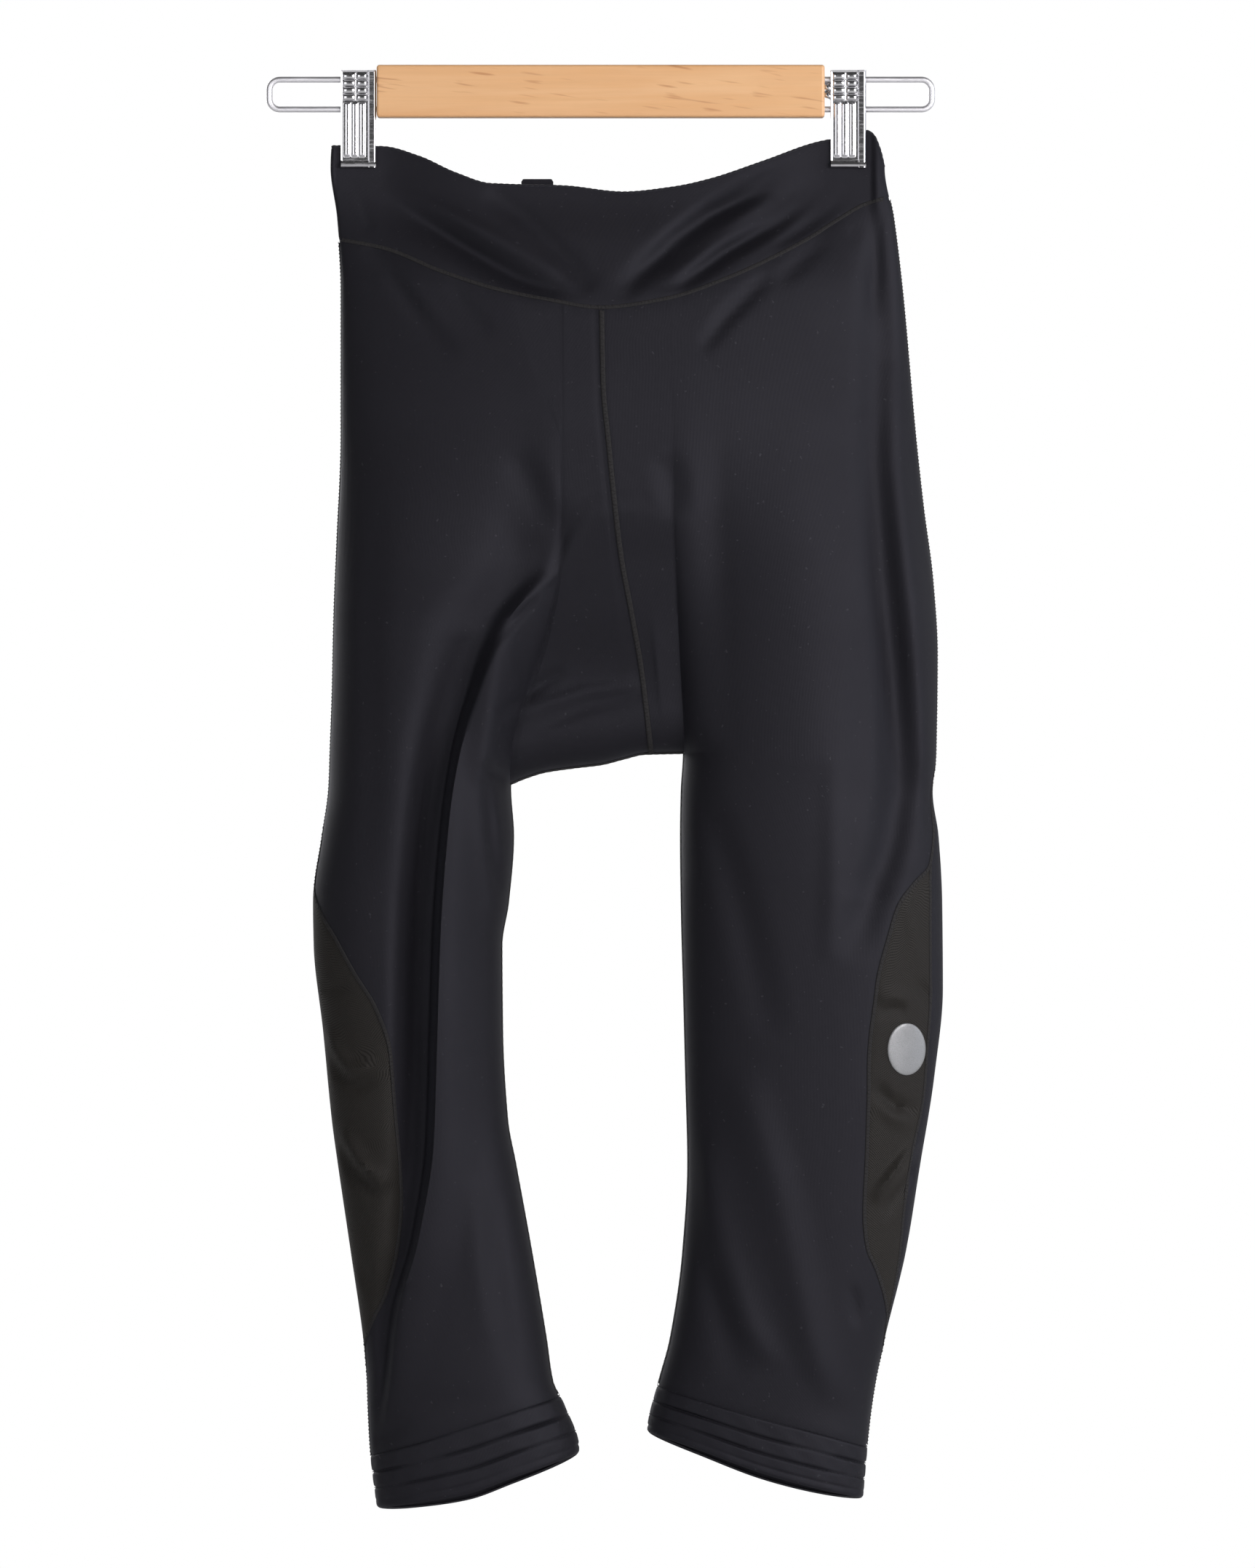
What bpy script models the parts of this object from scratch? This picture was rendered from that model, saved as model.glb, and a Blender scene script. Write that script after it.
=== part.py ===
"""Three-quarter cycling tights hung by the waist on a wooden clip hanger.

Metres, +Z up, +X to the viewer's right, the front of the garment facing -Y. The origin is the centre
of the hanger bar's top face. Right and left are the wearer's, so the right leg lies at -X. The tables
and the sizes below them are in millimetres, and MM turns them into metres as each mesh is written.
"""

import math

import bmesh
import bpy
import numpy as np

MM = 0.001
CLEARANCE = 0.3  # between any two pieces
OUTWARD = {"right": -1, "left": 1}
FACE_SIGN = {"front": 1, "back": -1}
SHARP_ANGLE = 40.0  # edges that turn more than this, in degrees, are shaded sharp

# Cloth
LEG_CLOTH = 1.2
WAISTBAND_CLOTH = 1.5
KNEE_CLOTH = 1.2
HEM_CLOTH = 2.0
PAD_CLOTH = 5.0
PAD_EDGE = 1.5  # the pad's thickness at its rim
PAD_RAMP = 2  # cells over which the pad reaches its full thickness
PAD_GAP = 1.5  # from the leg cloth's inner face to the pad
BADGE_FILM = 0.6
BADGE_GAP = 0.4

# Form of the sections
BODY_POWER = 2.3  # 2 is an ellipse, more is squarer
LEG_POWER = 2.3
LOBE_LIMIT = 1.2  # where the lobe's fall stops, in half widths from its middle
SOFT_POWER = 1.5  # above 1 it makes a soft fold's crest narrower than its foot
LOOP_RADIUS = 2.4  # smallest roll of the cloth at its outer edges
CROTCH_ROUNDING = 26.0  # height over which the crotch's underside turns from front to back
LOBE_BLEND = 30.0  # width over which a thigh rises out of the crotch
FOLD_FADE = 12.0  # distance from an edge of the outline over which folds die out
CROTCH_LEVEL = {"right": -415.0, "left": -396.9}
HEM_LEVEL = -800.0
YOKE_SLACK = 0.3  # keeps the yoke seam's two runs of short edges apart where it curves
KNEE_TIP = 1.5  # the knee panel ends where it gets narrower

# Hanger
BAR_LENGTH, BAR_DEPTH, BAR_HEIGHT = 258.4, 14.5, 30.2
BAR_BEVEL, BAR_BEVEL_STEPS = 1.6, 3
WIRE_RADIUS = 1.75
WIRE_HEIGHTS = (-8.2, -25.4)  # centre lines of the loop's upper and lower run
WIRE_REACH = 191.2  # centre line of the loop's outer end
WIRE_BEND, WIRE_BEND_STEPS = 6.0, 5
WIRE_ROUNDNESS = 3  # steps in a quarter of the wire's girth, less one
BORE_DEPTH = 14.0
BORE_SIDES = 16
CLIP_X = {"right": -139.7, "left": 143.0}
CLIP_WIDTH = 20.2
CLIP_TOP, CLIP_BOTTOM = -3.0, -59.2
CLIP_PLATE = 1.2
FLANGE_WIDTH, FLANGE_DEPTH = 4.0, 2.6
LIP_HEIGHT, LIP_DEPTH = 3.8, 2.6
SPRING_WIDTH, SPRING_TOP, SPRING_BOTTOM = 14.0, -27.5, -34.0

# Pinch of the waistband in the clips
PINCH_HALF = 1.9  # from the mid-plane to the cloth's outer face
PINCH_WIDTH = 13.0  # half the width held flat
PINCH_SPREAD_IN, PINCH_SPREAD_OUT, PINCH_SPREAD_DOWN = 58.0, 4.0, 70.0
PINCH_FOOT = -60.0

# Waist tab and badge
TAB_X, TAB_WIDTH, TAB_TOP, TAB_FOOT = -36.7, 18.5, -64.8, -82.0
TAB_CLOTH = 0.9
BADGE_X, BADGE_Z, BADGE_HALF_WIDTH, BADGE_HALF_HEIGHT = 175.8, -567.4, 11.0, 15.0
BADGE_SIDES, BADGE_RINGS = 28, 2

# Grid
ROWS_BODY, ROWS_LEG, ROWS_WAISTBAND, ROWS_HEM, ROWS_PAD = 17, 25, 6, 2, 12
ROW_CROWDING = 1.7  # draws the body's rows together toward the crotch
CELLS_CROTCH, CELLS_WAISTBAND, CELLS_HEM, CELLS_KNEE, CELLS_PAD, CELLS_TAB = 4, 36, 32, 4, 8, 3
CELLS_PANEL = {"front": (5, 2, 5), "back": (12,)}
ROW_PASSES = 16  # passes that settle where a row meets a column
VALLEY_SIDE = 1.0  # how far outside the crease its valley's column runs
CREASE_LIMIT = {"valley": 0.88, "ridge": 0.95}  # furthest places round the leg of the crease's columns
NEAR = 0.05  # slopes are taken this far inside an edge
SLOPE_STEP = 0.02
FAR = 1000.0


def table(columns, *rows):
    """Named columns of numbers, sorted by the first one."""
    ordered = sorted(rows)
    return {name: np.array([row[k] for row in ordered], float) for k, name in enumerate(columns.split())}


BODY = table(
    "z front back share",
    (-35, 12, 12, 0),
    (-72, 14, 14, 0),
    (-105, 23, 25, 0),
    (-150, 34, 37, 0),
    (-200, 41, 47, 0.05),
    (-250, 42, 52, 0.40),
    (-290, 33, 50, 0.80),
    (-330, 24, 38, 1),
    (-370, 19, 25, 1),
    (-420, 18, 20, 1),
)

SECTIONS = {
    "right": table(
        "z outer inner front back",
        (-35, -154.6, -22, 34, 34),
        (-59, -156.0, -22, 34, 34),
        (-88, -152.2, -22, 36, 36),
        (-130, -149.7, -22, 40, 40),
        (-214, -149.7, -22, 44, 48),
        (-277, -152.2, -22.5, 46, 52),
        (-319, -153.9, -29, 46, 51),
        (-361, -154.8, -42, 45, 47),
        (-395, -156.0, -51, 44, 45),
        (-417, -156.8, -52.3, 43, 44),
        (-445, -160.7, -50.6, 42, 43),
        (-483, -166.1, -53.5, 40, 41),
        (-508, -165.7, -57.3, 39, 40),
        (-558, -160.2, -56.9, 37, 38),
        (-609, -155.2, -54.0, 35, 36),
        (-634, -151.8, -49.4, 34, 35),
        (-685, -144.3, -40.1, 32, 33),
        (-735, -137.1, -31.7, 30, 31),
        (-760, -134.6, -27.9, 29, 30),
        (-773, -134.2, -21.6, 28, 29),
        (-798, -132.9, -12.8, 28, 29),
        (-835, -128.5, -13.5, 28, 29),
    ),
    "left": table(
        "z outer inner front back",
        (-35, 164.0, 40, 34, 34),
        (-59, 164.0, 40, 34, 34),
        (-88, 169.0, 40, 36, 36),
        (-130, 174.1, 41, 41, 41),
        (-214, 181.7, 42, 45, 48),
        (-256, 186.3, 42, 47, 51),
        (-298, 191.7, 43.5, 47, 52),
        (-340, 194.2, 45.5, 46, 49),
        (-397, 193.4, 48.1, 45, 46),
        (-420, 191.7, 46.8, 44, 45),
        (-445, 195.1, 46.4, 43, 44),
        (-483, 197.2, 46.8, 41, 42),
        (-533, 197.6, 48.1, 39, 40),
        (-584, 192.6, 49.4, 37, 38),
        (-634, 184.6, 50.6, 35, 36),
        (-685, 176.2, 47.7, 33, 34),
        (-735, 164.0, 40.5, 31, 32),
        (-760, 158.5, 33.8, 30, 31),
        (-785, 154.9, 27.5, 29, 30),
        (-835, 150.4, 25.0, 29, 30),
    ),
}

# How far the side seams lie inside the outer outline: on the front above zero, on the back below.
# Where the front and back panels part, the knee panel lies between them.
SIDE_SEAMS = {
    "right": table(
        "z front back",
        (-440, 0, 0),
        (-474, 0.6, -0.2),
        (-487, 4.2, -1),
        (-505, 14, -2),
        (-525, 23.8, -2.5),
        (-544, 33.0, -3),
        (-570, 38.5, -3),
        (-617, 37.5, -3),
        (-650, 35.0, -3),
        (-680, 28.5, -2.5),
        (-708, 17.5, -1.5),
        (-728, 5.0, -0.8),
        (-740, 0.6, -0.2),
        (-755, 0, 0),
        (-800, 0, 0),
    ),
    "left": table(
        "z front back",
        (-405, 0, 0),
        (-440, 2.6, 2.6),
        (-462, 6.8, 6.2),
        (-472, 16.3, 7.1),
        (-484, 25.6, 7.3),
        (-499, 30.8, 7.6),
        (-532, 39.0, 7.6),
        (-558, 40.7, 7.1),
        (-599, 36.6, 5.0),
        (-632, 32.1, 6.4),
        (-662, 28.6, 5.6),
        (-682, 23.2, 4.0),
        (-695, 15.0, 3.0),
        (-716, 4.0, 1.6),
        (-724, 1.6, 1.0),
        (-745, 0, 0),
        (-800, 0, 0),
    ),
}

CENTRE_SEAM = table(
    "z front back",
    (-95, 0, 3),
    (-184, 1.5, 4),
    (-221, 4.8, 5),
    (-282, 11.5, 9),
    (-315, 17.5, 14),
    (-349, 23.5, 21),
    (-405, 30, 30),
)

CROTCH = table("x z", (-52.3, -415), (-44, -411.5), (-32, -407.8), (-15, -405.3), (0, -403.5),
               (14, -400), (25, -397.5), (48.1, -396.9))

WAIST_EDGE = table(
    "x front back",
    (-156, -47, -47),
    (-126, -47.5, -48),
    (-105, -53.3, -54),
    (-84, -63, -64),
    (-63, -69.5, -71),
    (-21, -70.8, -73),
    (13, -74.3, -75),
    (42, -71.4, -72),
    (63, -66.8, -68),
    (94, -56.3, -57),
    (126, -44.8, -45),
    (149, -40.5, -40.5),
    (154, -38.2, -38.2),
    (160, -46.0, -46.0),
    (164.2, -59, -59),
)

YOKE_SEAM = table(
    "x front back",
    (-152, -100.4, -100.4),
    (-124, -106.3, -103),
    (-92, -119.7, -107),
    (-60, -130.2, -110),
    (-32, -136.1, -112),
    (0, -141.1, -113),
    (37, -136.1, -111),
    (72, -124.3, -106),
    (118, -101.6, -95),
    (136, -89.9, -87),
    (152, -80.6, -80),
    (167, -76, -76),
)

HEMS = {
    "right": table("x seam edge", (-134, -803, -833), (-126, -800, -832), (-107, -794.6, -829),
                   (-76, -785, -823.2), (-51, -776.5, -814.4), (-25, -768.5, -805.6), (-12, -764.5, -801)),
    "left": table("x seam edge", (25, -760, -788), (56, -769, -798), (93, -780, -811.4),
                  (122, -787.5, -819.8), (156, -798, -828)),
}
HEM_BACK_DROP = 7.0  # how much lower the hem hangs behind

# The pad from its front edge down to the crotch and up behind, as places across
PAD = {
    "front": table("z left right", (-405, -32, 28), (-370, -30, 29), (-330, -26, 32), (-294, -20, 32),
                   (-268, -14, 30), (-256, -6, 24)),
    "back": table("z left right", (-405, -34, 28), (-370, -33, 28), (-330, -30, 30), (-290, -26, 32),
                  (-255, -24, 30), (-240, -16, 24)),
}
PAD_TOP = {"front": -256.0, "back": -240.0}

# A step fold drops on its outer side and rises on its inner one. `step` is the width of the steep part.
STEP_FOLDS = {
    "front": {
        "thigh_crease": table(
            "z x drop rise step outer inner",
            (-100, -84, 0, 0, 22, 40, 30),
            (-180, -60, 0, 0, 22, 40, 30),
            (-240, -36, 0, 0, 22, 40, 30),
            (-262, -31.5, 2, 0, 22, 40, 28),
            (-285, -38, 6, 1, 20, 40, 26),
            (-320, -63, 10, 1, 15, 38, 20),
            (-360, -77, 13, 2, 9, 34, 18),
            (-400, -87, 14, 4, 6, 30, 20),
            (-435, -92, 14, 6, 5.5, 28, 24),
            (-500, -97, 14, 7, 5.5, 28, 26),
            (-560, -99, 14, 7, 5.5, 26, 28),
            (-620, -101, 13, 7, 5.5, 24, 30),
            (-675, -109, 10, 7, 5, 20, 30),
            (-720, -121, 6, 5, 5, 12, 26),
            (-760, -125.5, 3, 3, 5, 7, 20),
            (-790, -130, 0, 0, 5, 5, 14),
        ),
    },
    "back": {},
}

# A soft fold is a ridge where its height is above zero and a trough where it is below.
SOFT_FOLDS = {
    "front": {
        "inner_thigh_ridge": table("z x height half", (-268, -30, 0, 12), (-300, -44, 4, 13),
                                   (-335, -58.5, 6, 11), (-375, -63, 6, 9), (-405, -66, 5, 8),
                                   (-440, -63.5, 3, 8), (-480, -60, 1.5, 7), (-515, -58.6, 0, 7)),
        "outer_thigh_trough": table("z x height half", (-82, 157, 0, 9), (-130, 158.5, -4, 9),
                                    (-214, 158.5, -5, 9), (-290, 161.5, -7, 9), (-357, 168, -9, 9),
                                    (-412, 170.7, -9, 10), (-442, 167, -8, 10), (-487, 153.5, -5, 10),
                                    (-518, 145, 0, 10)),
        "shin_ridge_outer": table("z x height half", (-575, 80, 0, 12), (-600, 86, 2.5, 12),
                                  (-650, 101, 3, 12), (-700, 113, 3, 11), (-745, 125, 2.5, 10),
                                  (-775, 137, 0, 10)),
        "shin_ridge_inner": table("z x height half", (-615, 57, 0, 9), (-640, 61, 2, 9),
                                  (-685, 71, 2.5, 9), (-725, 84, 2.5, 9), (-752, 99, 0, 9)),
        "thigh_trough": table("z x height half", (-418, 60, 0, 10), (-457, 72.5, -2.5, 10),
                              (-495, 83, -3, 10), (-540, 93, -2, 10), (-565, 99, 0, 10)),
        "waist_trough_right": table("z x height half", (-60, -148, 0, 10), (-75, -126, -4, 12),
                                    (-101, -86, -6, 16), (-122, -52, -5, 16), (-137, -25, 0, 14)),
        "waist_trough_left": table("z x height half", (-56, 110, 0, 8), (-68, 92, -3.5, 10),
                                   (-85, 68, -4.5, 12), (-110, 40, -4, 13), (-132, 16, 0, 12)),
        "clip_trough_left": table("z x height half", (-62, 131, 0, 7), (-75, 113, -3.5, 9),
                                  (-95, 88, -4, 11), (-115, 63, -3, 11), (-132, 42, 0, 10)),
    },
    "back": {
        "seat_trough_right": table("z x height half", (-300, -120, 0, 14), (-345, -100, -4, 14),
                                   (-385, -78, -6, 14), (-420, -70, 0, 12)),
        "seat_trough_left": table("z x height half", (-290, 160, 0, 14), (-335, 132, -4, 14),
                                  (-375, 98, -6, 14), (-410, 78, 0, 12)),
        "calf_ridge_right": table("z x height half", (-470, -92, 0, 14), (-530, -100, 4, 14),
                                  (-610, -98, 5, 13), (-690, -88, 4, 12), (-750, -80, 0, 12)),
        "calf_trough_left": table("z x height half", (-480, 150, 0, 13), (-540, 138, -4, 13),
                                  (-600, 118, -4, 13), (-665, 104, -3, 12), (-720, 96, 0, 12)),
        "waist_trough_back": table("z x height half", (-58, -120, 0, 9), (-74, -84, -3, 12),
                                   (-95, -45, -4, 14), (-118, -5, 0, 14)),
        "clip_trough_back": table("z x height half", (-56, 112, 0, 9), (-72, 84, -3, 12),
                                  (-92, 52, -4, 14), (-115, 20, 0, 14)),
    },
}


def read(source, column, at):
    """One column of a table at any place: a cubic through its rows that never overshoots them."""
    names = list(source)
    place, value = source[names[0]], source[column]
    at = np.clip(at, place[0], place[-1])
    gap = np.diff(place)
    rise = np.diff(value) / gap
    slope = np.zeros(len(place))
    product = rise[:-1] * rise[1:]
    total = np.where(product > 0, rise[:-1] + rise[1:], 1.0)
    slope[1:-1] = np.where(product > 0, 2 * product / total, 0.0)
    slope[0], slope[-1] = rise[0], rise[-1]
    k = np.clip(np.searchsorted(place, at) - 1, 0, len(gap) - 1)
    t = (at - place[k]) / gap[k]
    return (
        value[k] * (1 + 2 * t) * (1 - t) ** 2
        + slope[k] * gap[k] * t * (1 - t) ** 2
        + value[k + 1] * t * t * (3 - 2 * t)
        + slope[k + 1] * gap[k] * t * t * (t - 1)
    )


def smooth(share):
    """0 below 0, 1 above 1 and an even rise between."""
    share = np.clip(share, 0, 1)
    return share * share * (3 - 2 * share)


def pinch(x, z):
    """1 where a clip holds the waistband shut, falling to 0 round it."""
    held = np.zeros(np.broadcast(x, z).shape)
    below = smooth((z - PINCH_FOOT) / PINCH_SPREAD_DOWN + 1)
    for side, clip in CLIP_X.items():
        away = (x - clip) * OUTWARD[side]
        spread = np.where(away > 0, PINCH_SPREAD_OUT, PINCH_SPREAD_IN)
        held = np.maximum(held, below * (1 - smooth((abs(away) - PINCH_WIDTH) / spread)))
    return held


def side_of(x, z):
    """The sections' edges at these places: outer and inner edge of the leg on this side of the seat."""
    middle = (read(SECTIONS["right"], "inner", z) + read(SECTIONS["left"], "inner", z)) / 2
    on_left = x > middle
    edges = {}
    for name in ("outer", "inner"):
        edges[name] = np.where(on_left, read(SECTIONS["left"], name, z), read(SECTIONS["right"], name, z))
    return edges, on_left


def depth_squared(x, z, face):
    """Square of the cloth's distance from the mid-plane, before its folds."""
    edges, on_left = side_of(x, z)
    outer, inner = edges["outer"], edges["inner"]
    half = abs(inner - outer) / 2
    from_outer = abs(x - outer) * np.where((x - outer) * np.where(on_left, -1, 1) >= 0, 1, -1)
    into_leg = (x - inner) * np.where(on_left, 1, -1)
    across = abs(2 * x - outer - inner) / (2 * half)

    lobe = np.where(on_left, read(SECTIONS["left"], face, z), read(SECTIONS["right"], face, z))
    lobe = lobe**2 * np.where(into_leg > 0, 1 - np.minimum(across, LOBE_LIMIT) ** LEG_POWER, 0)

    low, high = read(SECTIONS["right"], "outer", z), read(SECTIONS["left"], "outer", z)
    spread = abs(2 * x - low - high) / (high - low)
    rise = np.clip((z - read(CROTCH, "z", x)) / CROTCH_ROUNDING, 0, 1)
    trunk = read(BODY, face, z) ** 2 * (1 - spread**BODY_POWER) * (1 - (1 - rise) ** 2)

    share = read(BODY, "share", z)
    roll = np.clip(from_outer / LOOP_RADIUS, -1, 1)
    roll = 1 - (1 - roll) ** 2
    open_form = trunk * (1 - share * smooth(into_leg / LOBE_BLEND)) + share * lobe + LOOP_RADIUS**2 * roll
    held = pinch(x, z)
    return open_form * (1 - held) + PINCH_HALF**2 * roll * held


def folds(x, z, face):
    """How far the folds move the cloth outward."""
    moved = np.zeros(np.broadcast(x, z).shape)
    for fold in STEP_FOLDS[face].values():
        top, foot = fold["z"][-1], fold["z"][0]
        active = (z < top) & (z > foot)
        drop, rise = read(fold, "drop", z), read(fold, "rise", z)
        step, outer, inner = read(fold, "step", z), read(fold, "outer", z), read(fold, "inner", z)
        past = x - read(fold, "x", z)
        valley = -drop * smooth(1 + past / outer)
        cliff = -drop + (drop + rise) * smooth(past / step)
        shoulder = rise * (1 - smooth((past - step) / inner))
        profile = np.where(past < 0, valley, np.where(past < step, cliff, shoulder))
        moved = moved + np.where(active, profile, 0)
    for fold in SOFT_FOLDS[face].values():
        top, foot = fold["z"][-1], fold["z"][0]
        active = (z < top) & (z > foot)
        past = (x - read(fold, "x", z)) / read(fold, "half", z)
        profile = read(fold, "height", z) * (1 - smooth(abs(past) / 2)) ** SOFT_POWER
        moved = moved + np.where(active, profile, 0)
    edges, _ = side_of(x, z)
    below_crotch = z < read(CROTCH, "z", edges["inner"]) + CROTCH_ROUNDING
    edge = np.abs(x - edges["outer"])
    edge = np.where(below_crotch, np.minimum(edge, np.abs(x - edges["inner"])), edge)
    return moved * smooth(edge / FOLD_FADE) * (1 - pinch(x, z))


def placed(x, z, face, low, high, floor):
    """Points on the cloth's outer face and the directions that face out. `low` and `high` are the
    outline's edges across and `floor` is the lowest height that the section has."""
    sign = FACE_SIGN[face]
    base = np.sqrt(np.maximum(depth_squared(x, z, face), 0))
    point = np.stack([x, -sign * (base + folds(x, z, face)), z], axis=-1)
    x, z = np.clip(x, low + NEAR, high - NEAR), np.maximum(z, floor + NEAR)
    slope = []
    for dx, dz in ((SLOPE_STEP, 0), (0, SLOPE_STEP)):
        square = depth_squared(x + dx, z + dz, face) - depth_squared(x - dx, z - dz, face)
        fold = folds(x + dx, z + dz, face) - folds(x - dx, z - dz, face)
        slope.append(-(square + 2 * base * fold) / (2 * SLOPE_STEP))
    normal = np.stack([slope[0], -sign * 2 * base, slope[1]], axis=-1)
    return point, normal / np.linalg.norm(normal, axis=-1, keepdims=True)


def turn_of(side, inset, z):
    """The place round the leg of a line that lies `inset` inside its outer edge: 0 is that edge, 1 the
    inner one by the front, -1 the inner one by the back."""
    width = abs(read(SECTIONS[side], "inner", z) - read(SECTIONS[side], "outer", z))
    return np.sign(inset) * np.arccos(1 - 2 * np.minimum(abs(inset) / width, 1)) / math.pi


def x_of(side, turn, z):
    """Distance across of a place round the leg. From 1 to 2 it runs on to the centre seam."""
    outer, inner = read(SECTIONS[side], "outer", z), read(SECTIONS[side], "inner", z)
    seam = np.where(turn >= 0, read(CENTRE_SEAM, "front", z), read(CENTRE_SEAM, "back", z))
    round_leg = outer + (inner - outer) * (1 - np.cos(math.pi * np.minimum(abs(turn), 1))) / 2
    return np.where(abs(turn) <= 1, round_leg, inner + (seam - inner) * (abs(turn) - 1))


def row_height(side, row, turn, x):
    """Height of a row of the leg's grid. The rows follow the yoke seam, the crotch and the hem seam."""
    corner = read(CROTCH, "z", read(SECTIONS[side], "inner", CROTCH_LEVEL[side]))
    top = np.where(turn >= 0, read(YOKE_SEAM, "front", x), read(YOKE_SEAM, "back", x))
    foot = np.where(abs(turn) > 1, read(CROTCH, "z", x), corner)
    share = 1 - (1 - np.minimum(row / ROWS_BODY, 1)) ** ROW_CROWDING
    down_leg = np.maximum(row - ROWS_BODY, 0) / ROWS_LEG
    return top + (foot - top) * share + (read(HEMS[side], "seam", x) - corner) * down_leg


def line_at(side, name):
    """A line down the leg, as a function of height that gives its turn."""
    if name in ("front", "back"):
        return lambda z: turn_of(side, read(SIDE_SEAMS[side], name, z), z)
    crease = STEP_FOLDS["front"]["thigh_crease"]

    def turn(z):
        place = read(crease, "x", z) + (read(crease, "step", z) if name == "ridge" else -VALLEY_SIDE)
        inset = abs(place - read(SECTIONS[side], "outer", z))
        return np.minimum(turn_of(side, inset, z), CREASE_LIMIT[name])

    return turn


def columns_between(lines, counts):
    """Columns spread evenly between neighbouring lines."""
    columns = []
    for k, count in enumerate(counts):
        for j in range(count):
            share = j / count
            columns.append(lambda z, a=lines[k], b=lines[k + 1], s=share: a(z) * (1 - s) + b(z) * s)
    columns.append(lines[-1])
    return columns


def grid_on_leg(side, columns, rows):
    """Points, outward directions and turns of a grid on one leg."""
    rows = np.array(rows, float)[:, None]
    height = np.full((len(rows), len(columns)), CROTCH_LEVEL[side])
    for _ in range(ROW_PASSES):
        turn = np.stack([column(height[:, j]) for j, column in enumerate(columns)], axis=1)
        x = x_of(side, turn, height)
        height = row_height(side, rows, turn, x)
    edges = read(SECTIONS[side], "outer", height), read(SECTIONS[side], "inner", height)
    in_leg = abs(turn) <= 1
    low, high = np.where(in_leg, np.minimum(*edges), -FAR), np.where(in_leg, np.maximum(*edges), FAR)
    floor = np.where(in_leg, -FAR, read(CROTCH, "z", x))
    return both_faces(x, height, turn, low, high, floor)


def both_faces(x, z, turn, low, high, floor):
    """The front's points where the turn is above zero and the back's below."""
    front, front_out = placed(x, z, "front", low, high, floor)
    back, back_out = placed(x, z, "back", low, high, floor)
    on_front = (turn >= 0)[..., None]
    return np.where(on_front, front, back), np.where(on_front, front_out, back_out)


def pulled_back(points, cells, ring):
    """Moves the border of a grid inward by half the clearance."""
    rows, columns = points.shape[:2]
    spare = np.zeros((rows + 1, columns + 1), bool)
    spare[1:-1, 1:columns if not ring else columns + 1] = cells
    if ring:
        spare[:, 0] = spare[:, -1]
    north_west, north_east = spare[:-1, :-1], spare[:-1, 1:]
    south_west, south_east = spare[1:, :-1], spare[1:, 1:]
    moved = points.copy()
    for here, there, shift in (
        (~north_west & ~north_east, south_west | south_east, (1, 0)),
        (~south_west & ~south_east, north_west | north_east, (-1, 0)),
        (~north_west & ~south_west, north_east | south_east, (0, 1)),
        (~north_east & ~south_east, north_west | south_west, (0, -1)),
        (~south_east & north_east & south_west, north_west, (-1, 0)),
        (~south_east & north_east & south_west, north_west, (0, -1)),
    ):
        for i, j in np.argwhere(here & there):
            way = points[i + shift[0], (j + shift[1]) % columns] - points[i, j]
            moved[i, j] += way / np.linalg.norm(way) * CLEARANCE / 2
    return moved


def wall(name, outer, inner, cells, material, ring=False):
    """A closed wall between two grids of points. `cells` marks the cells that the piece has."""
    rows, columns = outer.shape[:2]
    outer, inner = pulled_back(outer, cells, ring), pulled_back(inner, cells, ring)
    mesh = bmesh.new()
    made = {}

    def vertex(layer, i, j):
        key = layer, i, j % columns
        if key not in made:
            made[key] = mesh.verts.new((outer, inner)[layer][i, j % columns] * MM)
        return made[key]

    def exists(i, j):
        if ring:
            j %= columns
        return 0 <= i < cells.shape[0] and 0 <= j < cells.shape[1] and cells[i, j]

    for i, j in np.argwhere(cells):
        ring_of = ((i, j), (i, j + 1), (i + 1, j + 1), (i + 1, j))
        mesh.faces.new([vertex(0, *place) for place in ring_of])
        mesh.faces.new([vertex(1, *place) for place in reversed(ring_of)])
        beyond = ((i - 1, j), (i, j + 1), (i + 1, j), (i, j - 1))
        for k, neighbour in enumerate(beyond):
            if not exists(*neighbour):
                a, b = ring_of[k], ring_of[(k + 1) % 4]
                mesh.faces.new((vertex(0, *b), vertex(0, *a), vertex(1, *a), vertex(1, *b)))
    return finished(name, mesh, material)


def finished(name, mesh, material):
    """The object of a mesh, facing out, with its quads cut in two."""
    bmesh.ops.triangulate(mesh, faces=mesh.faces[:])
    bmesh.ops.recalc_face_normals(mesh, faces=mesh.faces[:])
    data = bpy.data.meshes.new(name)
    mesh.to_mesh(data)
    mesh.free()
    data.shade_smooth()
    data.set_sharp_from_angle(angle=math.radians(SHARP_ANGLE))
    thing = bpy.data.objects.new(name, data)
    bpy.context.scene.collection.objects.link(thing)
    thing.data.materials.append(material)
    return thing


def material(name, colour, roughness, metallic=0.0):
    made = bpy.data.materials.new(name)
    made.use_nodes = True
    shader = made.node_tree.nodes["Principled BSDF"]
    shader.inputs["Base Color"].default_value = (*colour, 1)
    shader.inputs["Roughness"].default_value = roughness
    shader.inputs["Metallic"].default_value = metallic
    return made


def leg_panel(side, face):
    """A leg's front or back with its half of the seat, down to the hem seam."""
    sign = FACE_SIGN[face]
    counts = CELLS_PANEL[face] if side == "right" else (sum(CELLS_PANEL[face]),)
    lines = [line_at(side, face)]
    if len(counts) > 1:
        lines += [line_at(side, "valley"), line_at(side, "ridge")]
    lines += [lambda z: np.full(z.shape, 1.0 * sign), lambda z: np.full(z.shape, 2.0 * sign)]
    columns = columns_between(lines, counts + (CELLS_CROTCH,))
    rows = range(ROWS_BODY + ROWS_LEG + 1)
    points, out = grid_on_leg(side, columns, rows)
    cells = np.ones((len(rows) - 1, len(columns) - 1), bool)
    cells[ROWS_BODY:, sum(counts):] = False
    return wall(f"leg_{face}_{side}", points, points - out * LEG_CLOTH, cells, MATERIALS["cloth"])


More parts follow.
